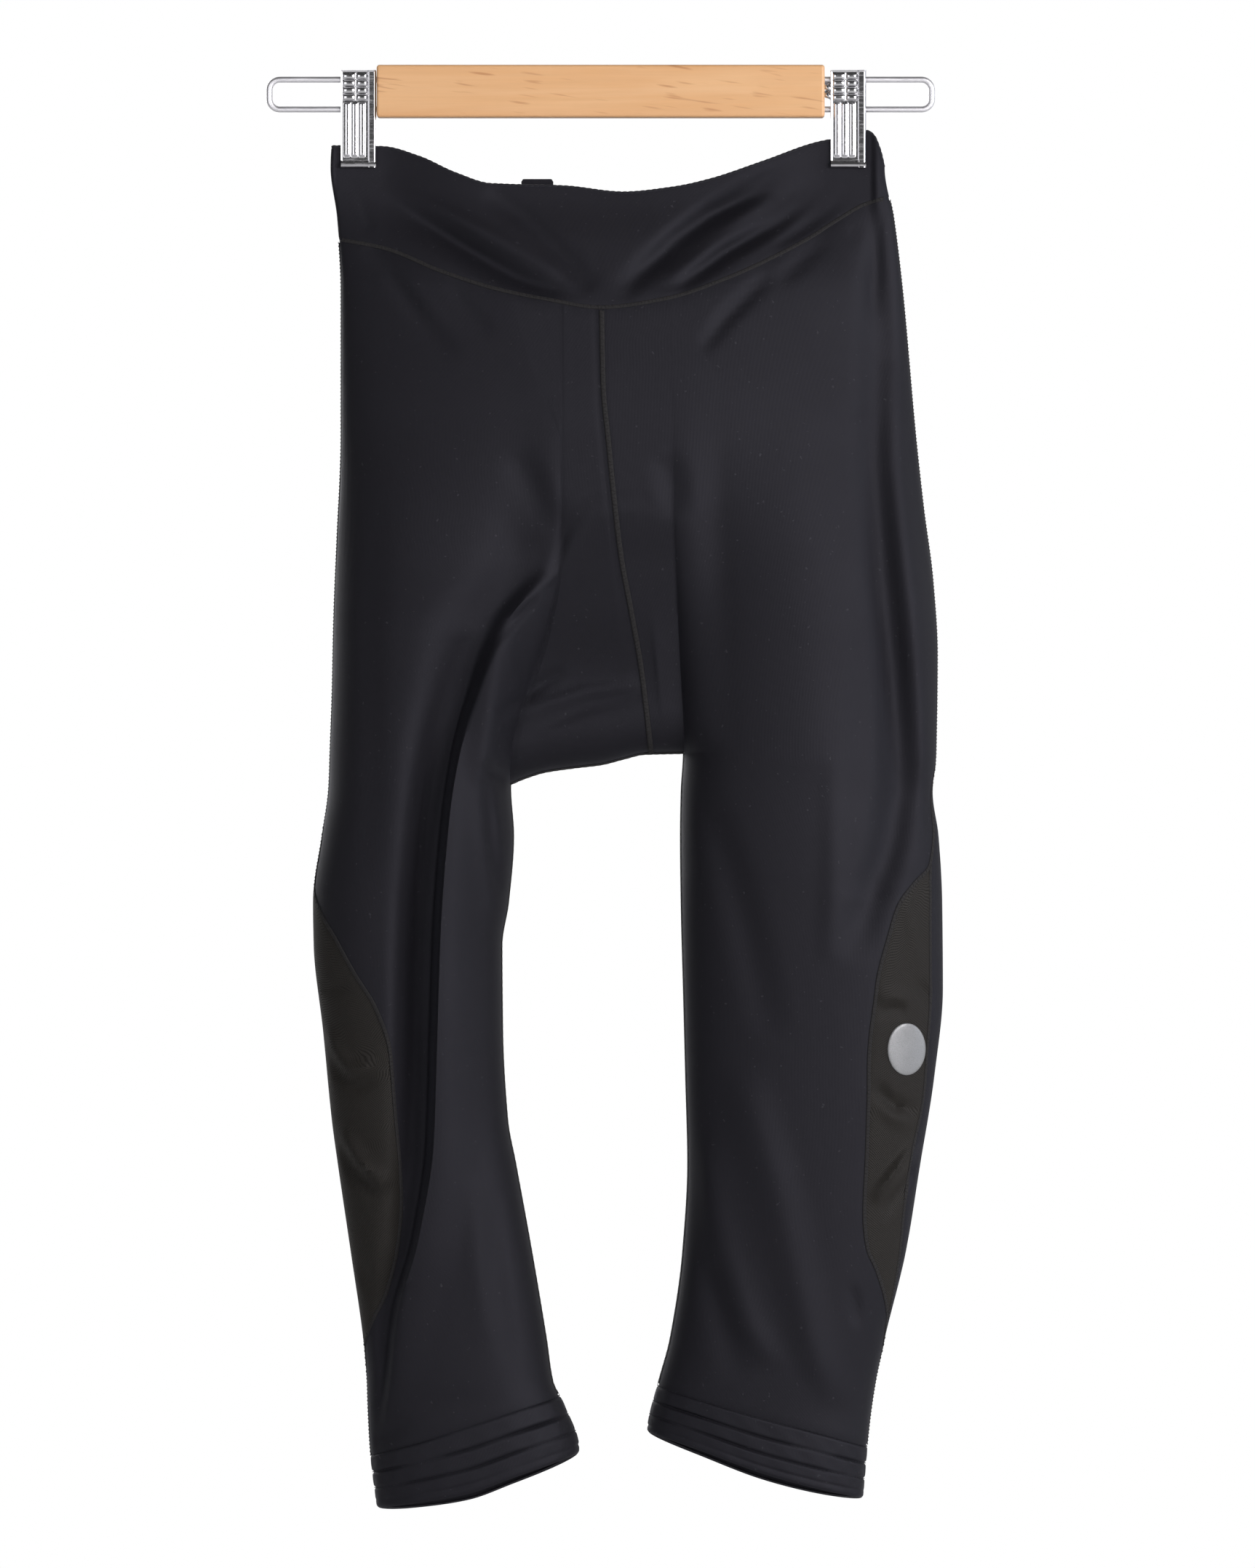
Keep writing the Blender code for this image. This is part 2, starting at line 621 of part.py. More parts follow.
def knee_panel(side):
    """The panel let in beside the knee, between the front and the back."""
    rows = range(ROWS_BODY + ROWS_LEG + 1)
    lines = [line_at(side, "back"), line_at(side, "front")]
    columns = columns_between(lines, (CELLS_KNEE,))
    points, out = grid_on_leg(side, columns, rows)
    width = np.linalg.norm(points[:, -1] - points[:, 0], axis=1)
    first, *_, last = np.flatnonzero(width > KNEE_TIP)
    points, out = points[first:last + 1], out[first:last + 1]
    cells = np.ones((last - first, CELLS_KNEE), bool)
    return wall(f"knee_panel_{side}", points, points - out * KNEE_CLOTH, cells, MATERIALS["mesh"])


def hem(side):
    """The turned-up band at the bottom of a leg, a closed ring."""
    turn = np.tile(np.arange(CELLS_HEM) / CELLS_HEM * 2 - 1, (ROWS_HEM + 1, 1))
    share = np.arange(ROWS_HEM + 1)[:, None] / ROWS_HEM
    height = np.full(turn.shape, HEM_LEVEL)
    for _ in range(ROW_PASSES):
        x = x_of(side, turn, height)
        seam, edge = read(HEMS[side], "seam", x), read(HEMS[side], "edge", x)
        edge = edge - HEM_BACK_DROP * np.sin(math.pi * np.maximum(-turn, 0))
        height = seam + (edge - seam) * share
    edges = read(SECTIONS[side], "outer", height), read(SECTIONS[side], "inner", height)
    points, out = both_faces(x, height, turn, np.minimum(*edges), np.maximum(*edges), -FAR)
    cells = np.ones((ROWS_HEM, CELLS_HEM), bool)
    proud = HEM_CLOTH - LEG_CLOTH
    return wall(f"hem_{side}", points + out * proud / 2, points - out * (HEM_CLOTH - proud / 2), cells,
                MATERIALS["cloth"], ring=True)


def waistband(face):
    """The yoke from the top edge to the V-shaped seam, from side seam to side seam."""
    share = np.arange(CELLS_WAISTBAND + 1)[None, :] / CELLS_WAISTBAND
    down = np.arange(ROWS_WAISTBAND + 1)[:, None] / ROWS_WAISTBAND
    height = np.full((ROWS_WAISTBAND + 1, CELLS_WAISTBAND + 1), PINCH_FOOT)
    for _ in range(ROW_PASSES):
        low, high = read(SECTIONS["right"], "outer", height), read(SECTIONS["left"], "outer", height)
        x = low + (high - low) * (1 - np.cos(math.pi * share)) / 2
        height = read(WAIST_EDGE, face, x) * (1 - down) + (read(YOKE_SEAM, face, x) + YOKE_SLACK) * down
    points, out = placed(x, height, face, low, high, -FAR)
    cells = np.ones((ROWS_WAISTBAND, CELLS_WAISTBAND), bool)
    return wall(f"waistband_{face}", points, points - out * WAISTBAND_CLOTH, cells, MATERIALS["cloth"])


def chamois_pad():
    """The seat pad inside the crotch, from its arched front edge round underneath to the back."""
    points, out = [], []
    across = np.linspace(0, 1, CELLS_PAD + 1)
    for face, steps in (("front", range(ROWS_PAD, 0, -1)), ("back", range(ROWS_PAD + 1))):
        for step in steps:
            share = (step / ROWS_PAD) ** ROW_CROWDING
            height = np.full(across.shape, CROTCH_LEVEL["left"])
            for _ in range(ROW_PASSES):
                low, high = read(PAD[face], "left", height), read(PAD[face], "right", height)
                x = low + (high - low) * across
                foot = read(CROTCH, "z", x)
                height = foot + (PAD_TOP[face] - foot) * share
            point, direction = placed(x, height, face, -FAR, FAR, foot)
            points.append(point)
            out.append(direction)
    points, out = np.array(points), np.array(out)
    down, along = np.arange(len(points)), np.arange(CELLS_PAD + 1)
    from_rim = np.minimum(np.minimum(down, down[::-1])[:, None], np.minimum(along, along[::-1]))
    thick = PAD_EDGE + (PAD_CLOTH - PAD_EDGE) * np.minimum(from_rim / PAD_RAMP, 1)
    near = points - out * (LEG_CLOTH + PAD_GAP)
    cells = np.ones((len(points) - 1, CELLS_PAD), bool)
    return wall("chamois_pad", near, near - out * thick[..., None], cells, MATERIALS["pad"])


def waist_tab():
    """The bare tab sewn inside the back of the waistband, standing above its edge."""
    x = np.linspace(TAB_X - TAB_WIDTH / 2, TAB_X + TAB_WIDTH / 2, CELLS_TAB + 1)
    x, height = np.meshgrid(x, np.linspace(TAB_TOP, TAB_FOOT, CELLS_TAB + 1))
    point, out = placed(x, height, "back", -FAR, FAR, -FAR)
    near = point - out * (WAISTBAND_CLOTH + CLEARANCE)
    cells = np.ones((CELLS_TAB, CELLS_TAB), bool)
    return wall("waist_tab", near, near - out * TAB_CLOTH, cells, MATERIALS["tab"])


def knee_badge():
    """A plain oval of reflective film lying on the left knee panel."""
    mesh = bmesh.new()
    around = np.arange(BADGE_SIDES) / BADGE_SIDES * 2 * math.pi
    layers = []
    for raised in (BADGE_GAP + BADGE_FILM, BADGE_GAP):
        rings = []
        for ring in range(BADGE_RINGS + 1):
            reach = ring / BADGE_RINGS
            count = 1 if ring == 0 else BADGE_SIDES
            x = BADGE_X + BADGE_HALF_WIDTH * reach * np.cos(around[:count])
            z = BADGE_Z + BADGE_HALF_HEIGHT * reach * np.sin(around[:count])
            point, out = placed(x, z, "front", -FAR, FAR, -FAR)
            rings.append([mesh.verts.new(place * MM) for place in point + out * raised])
        layers.append(rings)
    for k in range(BADGE_SIDES):
        n = (k + 1) % BADGE_SIDES
        for rings in layers:
            mesh.faces.new((rings[0][0], rings[1][k], rings[1][n]))
            for inner, outer in zip(rings[1:], rings[2:]):
                mesh.faces.new((inner[k], outer[k], outer[n], inner[n]))
        top, foot = layers[0][-1], layers[1][-1]
        mesh.faces.new((top[k], foot[k], foot[n], top[n]))
    return finished("knee_badge", mesh, MATERIALS["film"])


def block(name, low, high, made_of):
    """A box between two corners, in millimetres."""
    mesh = bmesh.new()
    bmesh.ops.create_cube(mesh, size=1)
    low, high = np.array(low) * MM, np.array(high) * MM
    for vertex in mesh.verts:
        vertex.co = low + (np.array(vertex.co) + 0.5) * (high - low)
    data = bpy.data.meshes.new(name)
    mesh.to_mesh(data)
    mesh.free()
    thing = bpy.data.objects.new(name, data)
    bpy.context.scene.collection.objects.link(thing)
    thing.data.materials.append(made_of)
    return thing


def combined(thing, other, operation):
    """Adds or cuts another shape, which then stays out of the build."""
    change = thing.modifiers.new(other.name, "BOOLEAN")
    change.operation = operation
    change.object = other
    other.hide_render = True
    other.display_type = "WIRE"


def hanger_bar():
    """The wooden bar, with a bore in each end for each run of the wire loops."""
    half = BAR_LENGTH / 2
    bar = block("hanger_bar", (-half, -BAR_DEPTH / 2, -BAR_HEIGHT), (half, BAR_DEPTH / 2, 0),
                MATERIALS["wood"])
    bevel = bar.modifiers.new("rounded edges", "BEVEL")
    bevel.width, bevel.segments = BAR_BEVEL * MM, BAR_BEVEL_STEPS
    for side, outward in OUTWARD.items():
        for height in WIRE_HEIGHTS:
            mesh = bmesh.new()
            radius = (WIRE_RADIUS + CLEARANCE) * MM
            bmesh.ops.create_cone(mesh, cap_ends=True, segments=BORE_SIDES, radius1=radius, radius2=radius,
                                  depth=2 * BORE_DEPTH * MM)
            data = bpy.data.meshes.new("bore")
            mesh.to_mesh(data)
            mesh.free()
            bore = bpy.data.objects.new(f"bore_{side}_{-height:.0f}", data)
            bore.location = (outward * half * MM, 0, height * MM)
            bore.rotation_euler = (0, math.pi / 2, 0)
            bpy.context.scene.collection.objects.link(bore)
            combined(bar, bore, "DIFFERENCE")
    return bar


def wire_loop(side):
    """A wire bent into a flat U whose ends sit in the bar."""
    outward = OUTWARD[side]
    start = BAR_LENGTH / 2 - BORE_DEPTH + 2 * CLEARANCE
    route = [(start, WIRE_HEIGHTS[0])]
    for centre, first in ((WIRE_HEIGHTS[0] - WIRE_BEND, 90), (WIRE_HEIGHTS[1] + WIRE_BEND, 0)):
        for step in range(WIRE_BEND_STEPS + 1):
            angle = math.radians(first - 90 * step / WIRE_BEND_STEPS)
            reach = WIRE_REACH - WIRE_BEND * (1 - math.cos(angle))
            route.append((reach, centre + WIRE_BEND * math.sin(angle)))
    route.append((start, WIRE_HEIGHTS[1]))
    name = f"wire_loop_{side}"
    data = bpy.data.curves.new(name, "CURVE")
    data.dimensions = "3D"
    data.bevel_depth, data.bevel_resolution = WIRE_RADIUS * MM, WIRE_ROUNDNESS
    data.use_fill_caps = True
    spline = data.splines.new("POLY")
    spline.points.add(len(route) - 1)
    for point, (x, z) in zip(spline.points, route):
        point.co = (outward * x * MM, 0, z * MM, 1)
    thing = bpy.data.objects.new(name, data)
    bpy.context.scene.collection.objects.link(thing)
    data.materials.append(MATERIALS["chrome"])
    return thing


def clip_jaw(side, face):
    """One pressed plate of a clip, with a raised border on the viewer's right and a lip at its foot."""
    centre, sign = CLIP_X[side], -FACE_SIGN[face]
    seat = PINCH_HALF + CLEARANCE
    low, high = centre - CLIP_WIDTH / 2, centre + CLIP_WIDTH / 2

    def piece(name, x_low, x_high, z_low, z_high, thick):
        ends = sorted((sign * seat, sign * (seat + thick)))
        return block(name, (x_low, ends[0], z_low), (x_high, ends[1], z_high), MATERIALS["chrome"])

    jaw = piece(f"clip_{face}_{side}", low, high, CLIP_BOTTOM, CLIP_TOP, CLIP_PLATE)
    border = piece(f"border_{face}_{side}", high - FLANGE_WIDTH, high, CLIP_BOTTOM, CLIP_TOP, FLANGE_DEPTH)
    lip = piece(f"lip_{face}_{side}", low, high, CLIP_BOTTOM, CLIP_BOTTOM + LIP_HEIGHT, LIP_DEPTH)
    combined(jaw, border, "UNION")
    combined(jaw, lip, "UNION")
    return jaw


def clip_spring(side):
    """The plain saddle that holds a clip's two jaws together under the wires."""
    low = (CLIP_X[side] - SPRING_WIDTH / 2, -PINCH_HALF, SPRING_BOTTOM)
    high = (CLIP_X[side] + SPRING_WIDTH / 2, PINCH_HALF, SPRING_TOP)
    return block(f"clip_spring_{side}", low, high, MATERIALS["chrome"])


for old in list(bpy.data.objects):
    bpy.data.objects.remove(old)

MATERIALS = {
    "cloth": material("blue-black stretch cloth", (0.016, 0.016, 0.022), 0.55),
    "mesh": material("brown-black mesh", (0.020, 0.018, 0.015), 0.8),
    "pad": material("seat pad", (0.03, 0.03, 0.035), 0.9),
    "tab": material("woven tab", (0.02, 0.02, 0.025), 0.7),
    "film": material("reflective film", (0.62, 0.63, 0.64), 0.35, 0.3),
    "wood": material("pale beech", (0.80, 0.47, 0.23), 0.5),
    "chrome": material("chrome", (0.78, 0.78, 0.80), 0.12, 1.0),
}

for panel_face in FACE_SIGN:
    waistband(panel_face)
    for panel_side in OUTWARD:
        leg_panel(panel_side, panel_face)
for panel_side in OUTWARD:
    knee_panel(panel_side)
    hem(panel_side)
    wire_loop(panel_side)
    clip_spring(panel_side)
    for panel_face in FACE_SIGN:
        clip_jaw(panel_side, panel_face)
chamois_pad()
waist_tab()
knee_badge()
hanger_bar()
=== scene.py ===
"""Three-quarter cycling tights on a clip hanger, dressed round the fixed frame of their CAD model.

Metres, +Z up, +X to the viewer's right, the front of the garment facing -Y, the origin at the centre of
the hanger bar's top face. Right and left are the wearer's, so the right leg lies at -X. The tables are
in millimetres, and MM turns them into metres as each mesh is written.
"""

import math

import bmesh
import bpy
import numpy as np
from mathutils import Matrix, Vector


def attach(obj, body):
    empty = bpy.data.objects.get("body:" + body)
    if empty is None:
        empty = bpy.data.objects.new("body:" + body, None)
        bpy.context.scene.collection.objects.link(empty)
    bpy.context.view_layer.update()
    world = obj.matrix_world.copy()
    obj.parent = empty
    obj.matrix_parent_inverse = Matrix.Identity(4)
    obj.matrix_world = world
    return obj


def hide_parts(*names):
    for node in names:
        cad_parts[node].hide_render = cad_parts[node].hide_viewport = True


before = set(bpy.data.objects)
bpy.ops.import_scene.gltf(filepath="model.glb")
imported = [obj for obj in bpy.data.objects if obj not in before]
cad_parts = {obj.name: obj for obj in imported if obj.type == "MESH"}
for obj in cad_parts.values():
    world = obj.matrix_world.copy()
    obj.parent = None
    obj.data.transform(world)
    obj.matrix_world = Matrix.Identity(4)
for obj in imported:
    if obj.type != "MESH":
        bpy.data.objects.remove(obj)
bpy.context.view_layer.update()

bl_info = {
    "name": "Hung cycling tights",
    "version": (1, 0, 0),
    "blender": (4, 5, 0),
    "location": "3D View > Sidebar > Tights",
    "description": "Builds three-quarter cycling tights on a clip hanger, with their stage",
    "category": "Object",
}

MM = 0.001

# Form of the sections, as the CAD model has them
BODY_POWER = 2.3
LEG_POWER = 2.3
LOBE_LIMIT = 1.2  # the lobe's profile stops falling this far beyond its edge
LOOP_RADIUS = 2.4
CROTCH_ROUNDING = 26.0
LOBE_BLEND = 30.0
FOLD_FADE = 12.0
CREASE_FADE = 5.0
SOFT_POWER = 1.5  # makes a soft fold's crest narrower than its foot

# Hanger
WIRE_RADIUS = 1.75
WIRE_HEIGHTS = (-8.2, -25.4)
WIRE_REACH = 191.2
WIRE_BEND = 6.0
WIRE_START = 115.8
WIRE_BEND_STEPS = 12
WIRE_SIDES = 24
CLIP_X = {"right": -139.7, "left": 143.0}
CLIP_WIDTH = 20.2
CLIP_TOP, CLIP_BOTTOM = -3.0, -59.2
CLIP_SEAT = 2.2  # from the mid-plane to a jaw's inner face
CLIP_PLATE = 0.9

# Pinch of the waistband in the clips
PINCH_HALF = 1.9
PINCH_WIDTH = 13.0
PINCH_SPREAD_IN, PINCH_SPREAD_OUT, PINCH_SPREAD_DOWN = 58.0, 4.0, 70.0
PINCH_FOOT = -60.0

# Grid of each leg panel: rows down the body and the leg, columns from the side seam to the centre seam
ROWS_BODY, ROWS_LEG = 84, 124
ROW_CROWDING = 1.25
COLUMNS = {("right", "front"): (26, 7, 26, 20), ("left", "front"): (56, 20),
           ("right", "back"): (56, 20), ("left", "back"): (56, 20)}
ROWS_WAISTBAND, COLUMNS_WAISTBAND = 30, 150
ROWS_HEM, COLUMNS_HEM = 46, 168
ROWS_PAD, COLUMNS_PAD = 26, 20
COLUMNS_KNEE = 18
KNEE_TIP = 1.5  # the knee panel ends where it gets narrower
NEAR = 0.05
SLOPE_STEP = 0.04
FAR = 1000.0
OUTWARD = {"right": -1, "left": 1}
FACE_SIGN = {"front": 1, "back": -1}
CROTCH_LEVEL = {"right": -415.0, "left": -396.9}
HEM_LEVEL = -800.0
ROW_PASSES = 16
CREASE_LIMIT = {"valley": 0.88, "ridge": 0.95}
VALLEY_SIDE = 1.0  # how far outside the crease's line its valley column runs


STROKE_TAPER = 0.55  # how quickly a stroke reaches its full height along its length

# Cloth and sewing
LEG_CLOTH = 1.2
WAISTBAND_CLOTH = 1.5
HEM_CLOTH = 2.0
PAD_CLOTH = 5.0
PAD_EDGE = 1.5
PAD_GAP = 1.5
PAD_CROWDING = 1.4
TAB_X, TAB_WIDTH, TAB_TOP, TAB_FOOT, TAB_CLOTH = -36.7, 18.5, -64.8, -82.0, 0.9
BADGE_X, BADGE_Z, BADGE_HALF_WIDTH, BADGE_HALF_HEIGHT = 175.8, -567.4, 11.0, 15.0
BADGE_GAP = 0.4
BADGE_SIDES = 72
EDGE_SCALLOP = 3.4  # spacing of the waist edge's scallops
EDGE_ROLL = 0.75
HEM_ROWS = ((0.0, 0.5), (0.33, 1.0), (0.63, 0.8), (0.86, 0.35))  # share of the hem's height and depth
HEM_ROW_WIDTH = 0.026
HEM_STITCH = 2.5
HEM_THREAD = 0.32
SEAM_THREAD = 0.3
JOIN_WIDTH = 7.0  # the flat seams inside the legs and under the crotch, from panel to panel

FLOOR = -0.91
ROOM_FRONT, ROOM_BACK = 0.06, 0.45
KEY_POWER, FILL_POWER, SIDE_POWER, BACK_POWER = 108.0, 30.0, 18.0, 36.0
CAMERA_DISTANCE = 6.0
VIEW_HEIGHT = 0.9055
VIEW_CENTRE = (0.0155, -0.41496)


def table(columns, *rows):
    """Named columns of numbers, sorted by the first one."""
    ordered = sorted(rows)
    return {name: np.array([row[i] for row in ordered], float) for i, name in enumerate(columns.split())}


BODY = table(
    "z front back share",
    (-35, 12, 12, 0),
    (-72, 14, 14, 0),
    (-105, 23, 25, 0),
    (-150, 34, 37, 0),
    (-200, 41, 47, 0.05),
    (-250, 42, 52, 0.40),
    (-290, 33, 50, 0.80),
    (-330, 24, 38, 1),
    (-370, 19, 25, 1),
    (-420, 18, 20, 1),
)

SECTIONS = {
    "right": table(
        "z outer inner front back",
        (-35, -154.6, -22, 34, 34),
        (-59, -156.0, -22, 34, 34),
        (-88, -152.2, -22, 36, 36),
        (-130, -149.7, -22, 40, 40),
        (-214, -149.7, -22, 44, 48),
        (-277, -152.2, -22.5, 46, 52),
        (-319, -153.9, -29, 46, 51),
        (-361, -154.8, -42, 45, 47),
        (-395, -156.0, -51, 44, 45),
        (-417, -156.8, -52.3, 43, 44),
        (-445, -160.7, -50.6, 42, 43),
        (-483, -166.1, -53.5, 40, 41),
        (-508, -165.7, -57.3, 39, 40),
        (-558, -160.2, -56.9, 37, 38),
        (-609, -155.2, -54.0, 35, 36),
        (-634, -151.8, -49.4, 34, 35),
        (-685, -144.3, -40.1, 32, 33),
        (-735, -137.1, -31.7, 30, 31),
        (-760, -134.6, -27.9, 29, 30),
        (-773, -134.2, -21.6, 28, 29),
        (-798, -132.9, -12.8, 28, 29),
        (-835, -128.5, -13.5, 28, 29),
    ),
    "left": table(
        "z outer inner front back",
        (-35, 164.0, 40, 34, 34),
        (-59, 164.0, 40, 34, 34),
        (-88, 169.0, 40, 36, 36),
        (-130, 174.1, 41, 41, 41),
        (-214, 181.7, 42, 45, 48),
        (-256, 186.3, 42, 47, 51),
        (-298, 191.7, 43.5, 47, 52),
        (-340, 194.2, 45.5, 46, 49),
        (-397, 193.4, 48.1, 45, 46),
        (-420, 191.7, 46.8, 44, 45),
        (-445, 195.1, 46.4, 43, 44),
        (-483, 197.2, 46.8, 41, 42),
        (-533, 197.6, 48.1, 39, 40),
        (-584, 192.6, 49.4, 37, 38),
        (-634, 184.6, 50.6, 35, 36),
        (-685, 176.2, 47.7, 33, 34),
        (-735, 164.0, 40.5, 31, 32),
        (-760, 158.5, 33.8, 30, 31),
        (-785, 154.9, 27.5, 29, 30),
        (-835, 150.4, 25.0, 29, 30),
    ),
}

# How far the side seams lie inside the outer outline: on the front above zero, on the back below.
# Where the front and back panels part, the knee panel lies between them.
SIDE_SEAMS = {
    "right": table(
        "z front back",
        (-440, 0, 0),
        (-474, 0.6, -0.2),
        (-487, 4.2, -1),
        (-505, 14, -2),
        (-525, 23.8, -2.5),
        (-544, 33.0, -3),
        (-570, 38.5, -3),
        (-617, 37.5, -3),
        (-650, 35.0, -3),
        (-680, 28.5, -2.5),
        (-708, 17.5, -1.5),
        (-728, 5.0, -0.8),
        (-740, 0.6, -0.2),
        (-755, 0, 0),
        (-800, 0, 0),
    ),
    "left": table(
        "z front back",
        (-405, 0, 0),
        (-440, 2.6, 2.6),
        (-462, 6.8, 6.2),
        (-472, 16.3, 7.1),
        (-484, 25.6, 7.3),
        (-499, 30.8, 7.6),
        (-532, 39.0, 7.6),
        (-558, 40.7, 7.1),
        (-599, 36.6, 5.0),
        (-632, 32.1, 6.4),
        (-662, 28.6, 5.6),
        (-682, 23.2, 4.0),
        (-695, 15.0, 3.0),
        (-716, 4.0, 1.6),
        (-724, 1.6, 1.0),
        (-745, 0, 0),
        (-800, 0, 0),
    ),
}

CENTRE_SEAM = table(
    "z front back",
    (-95, 0, 3),
    (-184, 1.5, 4),
    (-221, 4.8, 5),
    (-282, 11.5, 9),
    (-315, 17.5, 14),
    (-349, 23.5, 21),
    (-405, 30, 30),
)

CROTCH = table("x z", (-52.3, -415), (-44, -411.5), (-32, -407.8), (-15, -405.3), (0, -403.5),
               (14, -400), (25, -397.5), (48.1, -396.9))

WAIST_EDGE = table(
    "x front back",
    (-156, -47, -47),
    (-126, -47.5, -48),
    (-105, -53.3, -54),
    (-84, -63, -64),
    (-63, -69.5, -71),
    (-21, -70.8, -73),
    (13, -74.3, -75),
    (42, -71.4, -72),
    (63, -66.8, -68),
    (94, -56.3, -57),
    (126, -44.8, -45),
    (149, -40.5, -40.5),
    (154, -38.2, -38.2),
    (160, -46.0, -46.0),
    (164.2, -59, -59),
)

YOKE_SEAM = table(
    "x front back",
    (-152, -100.4, -100.4),
    (-124, -106.3, -103),
    (-92, -119.7, -107),
    (-60, -130.2, -110),
    (-32, -136.1, -112),
    (0, -141.1, -113),
    (37, -136.1, -111),
    (72, -124.3, -106),
    (118, -101.6, -95),
    (136, -89.9, -87),
    (152, -80.6, -80),
    (167, -76, -76),
)

HEMS = {
    "right": table("x seam edge", (-134, -803, -833), (-126, -800, -832), (-107, -794.6, -829),
                   (-76, -785, -823.2), (-51, -776.5, -814.4), (-25, -768.5, -805.6), (-12, -764.5, -801)),
    "left": table("x seam edge", (25, -760, -788), (56, -769, -798), (93, -780, -811.4),
                  (122, -787.5, -819.8), (156, -798, -828)),
}
HEM_BACK_DROP = 7.0  # how much lower the hem hangs behind

# The pad from its front edge down to the crotch and up behind, as places across
PAD = {
    "front": table("z left right", (-405, -32, 28), (-370, -30, 29), (-330, -26, 32), (-294, -20, 32),
                   (-268, -14, 30), (-256, -6, 24)),
    "back": table("z left right", (-405, -34, 28), (-370, -33, 28), (-330, -30, 30), (-290, -26, 32),
                  (-255, -24, 30), (-240, -16, 24)),
}
PAD_TOP = {"front": -256.0, "back": -240.0}

# A step fold drops on its outer side and rises on its inner one. `step` is the width of the steep part.
STEP_FOLDS = {
    "front": {
        "thigh_crease": table(
            "z x drop rise step outer inner",
            (-100, -84, 0, 0, 22, 40, 30),
            (-180, -60, 0, 0, 22, 40, 30),
            (-240, -36, 0, 0, 22, 40, 30),
            (-262, -31.5, 2, 0, 22, 40, 28),
            (-285, -38, 6, 1, 20, 40, 26),
            (-320, -63, 10, 1, 15, 38, 20),
            (-360, -77, 13, 2, 9, 34, 18),
            (-400, -87, 14, 4, 6, 30, 20),
            (-435, -92, 14, 6, 5.5, 28, 24),
            (-500, -97, 14, 7, 5.5, 28, 26),
            (-560, -99, 14, 7, 5.5, 26, 28),
            (-620, -101, 13, 7, 5.5, 24, 30),
            (-675, -109, 10, 7, 5, 20, 30),
            (-720, -121, 6, 5, 5, 12, 26),
            (-760, -125.5, 3, 3, 5, 7, 20),
            (-790, -130, 0, 0, 5, 5, 14),
        ),
    },
    "back": {},
}

# A soft fold is a ridge where its height is above zero and a trough where it is below.
SOFT_FOLDS = {
    "front": {
        "inner_thigh_ridge": table("z x height half", (-268, -30, 0, 12), (-300, -44, 4, 13),
                                   (-335, -58.5, 6, 11), (-375, -63, 6, 9), (-405, -66, 5, 8),
                                   (-440, -63.5, 3, 8), (-480, -60, 1.5, 7), (-515, -58.6, 0, 7)),
        "outer_thigh_trough": table("z x height half", (-82, 157, 0, 9), (-130, 158.5, -4, 9),
                                    (-214, 158.5, -5, 9), (-290, 161.5, -7, 9), (-357, 168, -9, 9),
                                    (-412, 170.7, -9, 10), (-442, 167, -8, 10), (-487, 153.5, -5, 10),
                                    (-518, 145, 0, 10)),
        "shin_ridge_outer": table("z x height half", (-575, 80, 0, 12), (-600, 86, 2.5, 12),
                                  (-650, 101, 3, 12), (-700, 113, 3, 11), (-745, 125, 2.5, 10),
                                  (-775, 137, 0, 10)),
        "shin_ridge_inner": table("z x height half", (-615, 57, 0, 9), (-640, 61, 2, 9),
                                  (-685, 71, 2.5, 9), (-725, 84, 2.5, 9), (-752, 99, 0, 9)),
        "thigh_trough": table("z x height half", (-418, 60, 0, 10), (-457, 72.5, -2.5, 10),
                              (-495, 83, -3, 10), (-540, 93, -2, 10), (-565, 99, 0, 10)),
        "waist_trough_right": table("z x height half", (-60, -148, 0, 10), (-75, -126, -4, 12),
                                    (-101, -86, -6, 16), (-122, -52, -5, 16), (-137, -25, 0, 14)),
        "waist_trough_left": table("z x height half", (-56, 110, 0, 8), (-68, 92, -3.5, 10),
                                   (-85, 68, -4.5, 12), (-110, 40, -4, 13), (-132, 16, 0, 12)),
        "clip_trough_left": table("z x height half", (-62, 131, 0, 7), (-75, 113, -3.5, 9),
                                  (-95, 88, -4, 11), (-115, 63, -3, 11), (-132, 42, 0, 10)),
    },
    "back": {
        "seat_trough_right": table("z x height half", (-300, -120, 0, 14), (-345, -100, -4, 14),
                                   (-385, -78, -6, 14), (-420, -70, 0, 12)),
        "seat_trough_left": table("z x height half", (-290, 160, 0, 14), (-335, 132, -4, 14),
                                  (-375, 98, -6, 14), (-410, 78, 0, 12)),
        "calf_ridge_right": table("z x height half", (-470, -92, 0, 14), (-530, -100, 4, 14),
                                  (-610, -98, 5, 13), (-690, -88, 4, 12), (-750, -80, 0, 12)),
        "calf_trough_left": table("z x height half", (-480, 150, 0, 13), (-540, 138, -4, 13),
                                  (-600, 118, -4, 13), (-665, 104, -3, 12), (-720, 96, 0, 12)),
        "waist_trough_back": table("z x height half", (-58, -120, 0, 9), (-74, -84, -3, 12),
                                   (-95, -45, -4, 14), (-118, -5, 0, 14)),
        "clip_trough_back": table("z x height half", (-56, 112, 0, 9), (-72, 84, -3, 12),
                                  (-92, 52, -4, 14), (-115, 20, 0, 14)),
    },
}

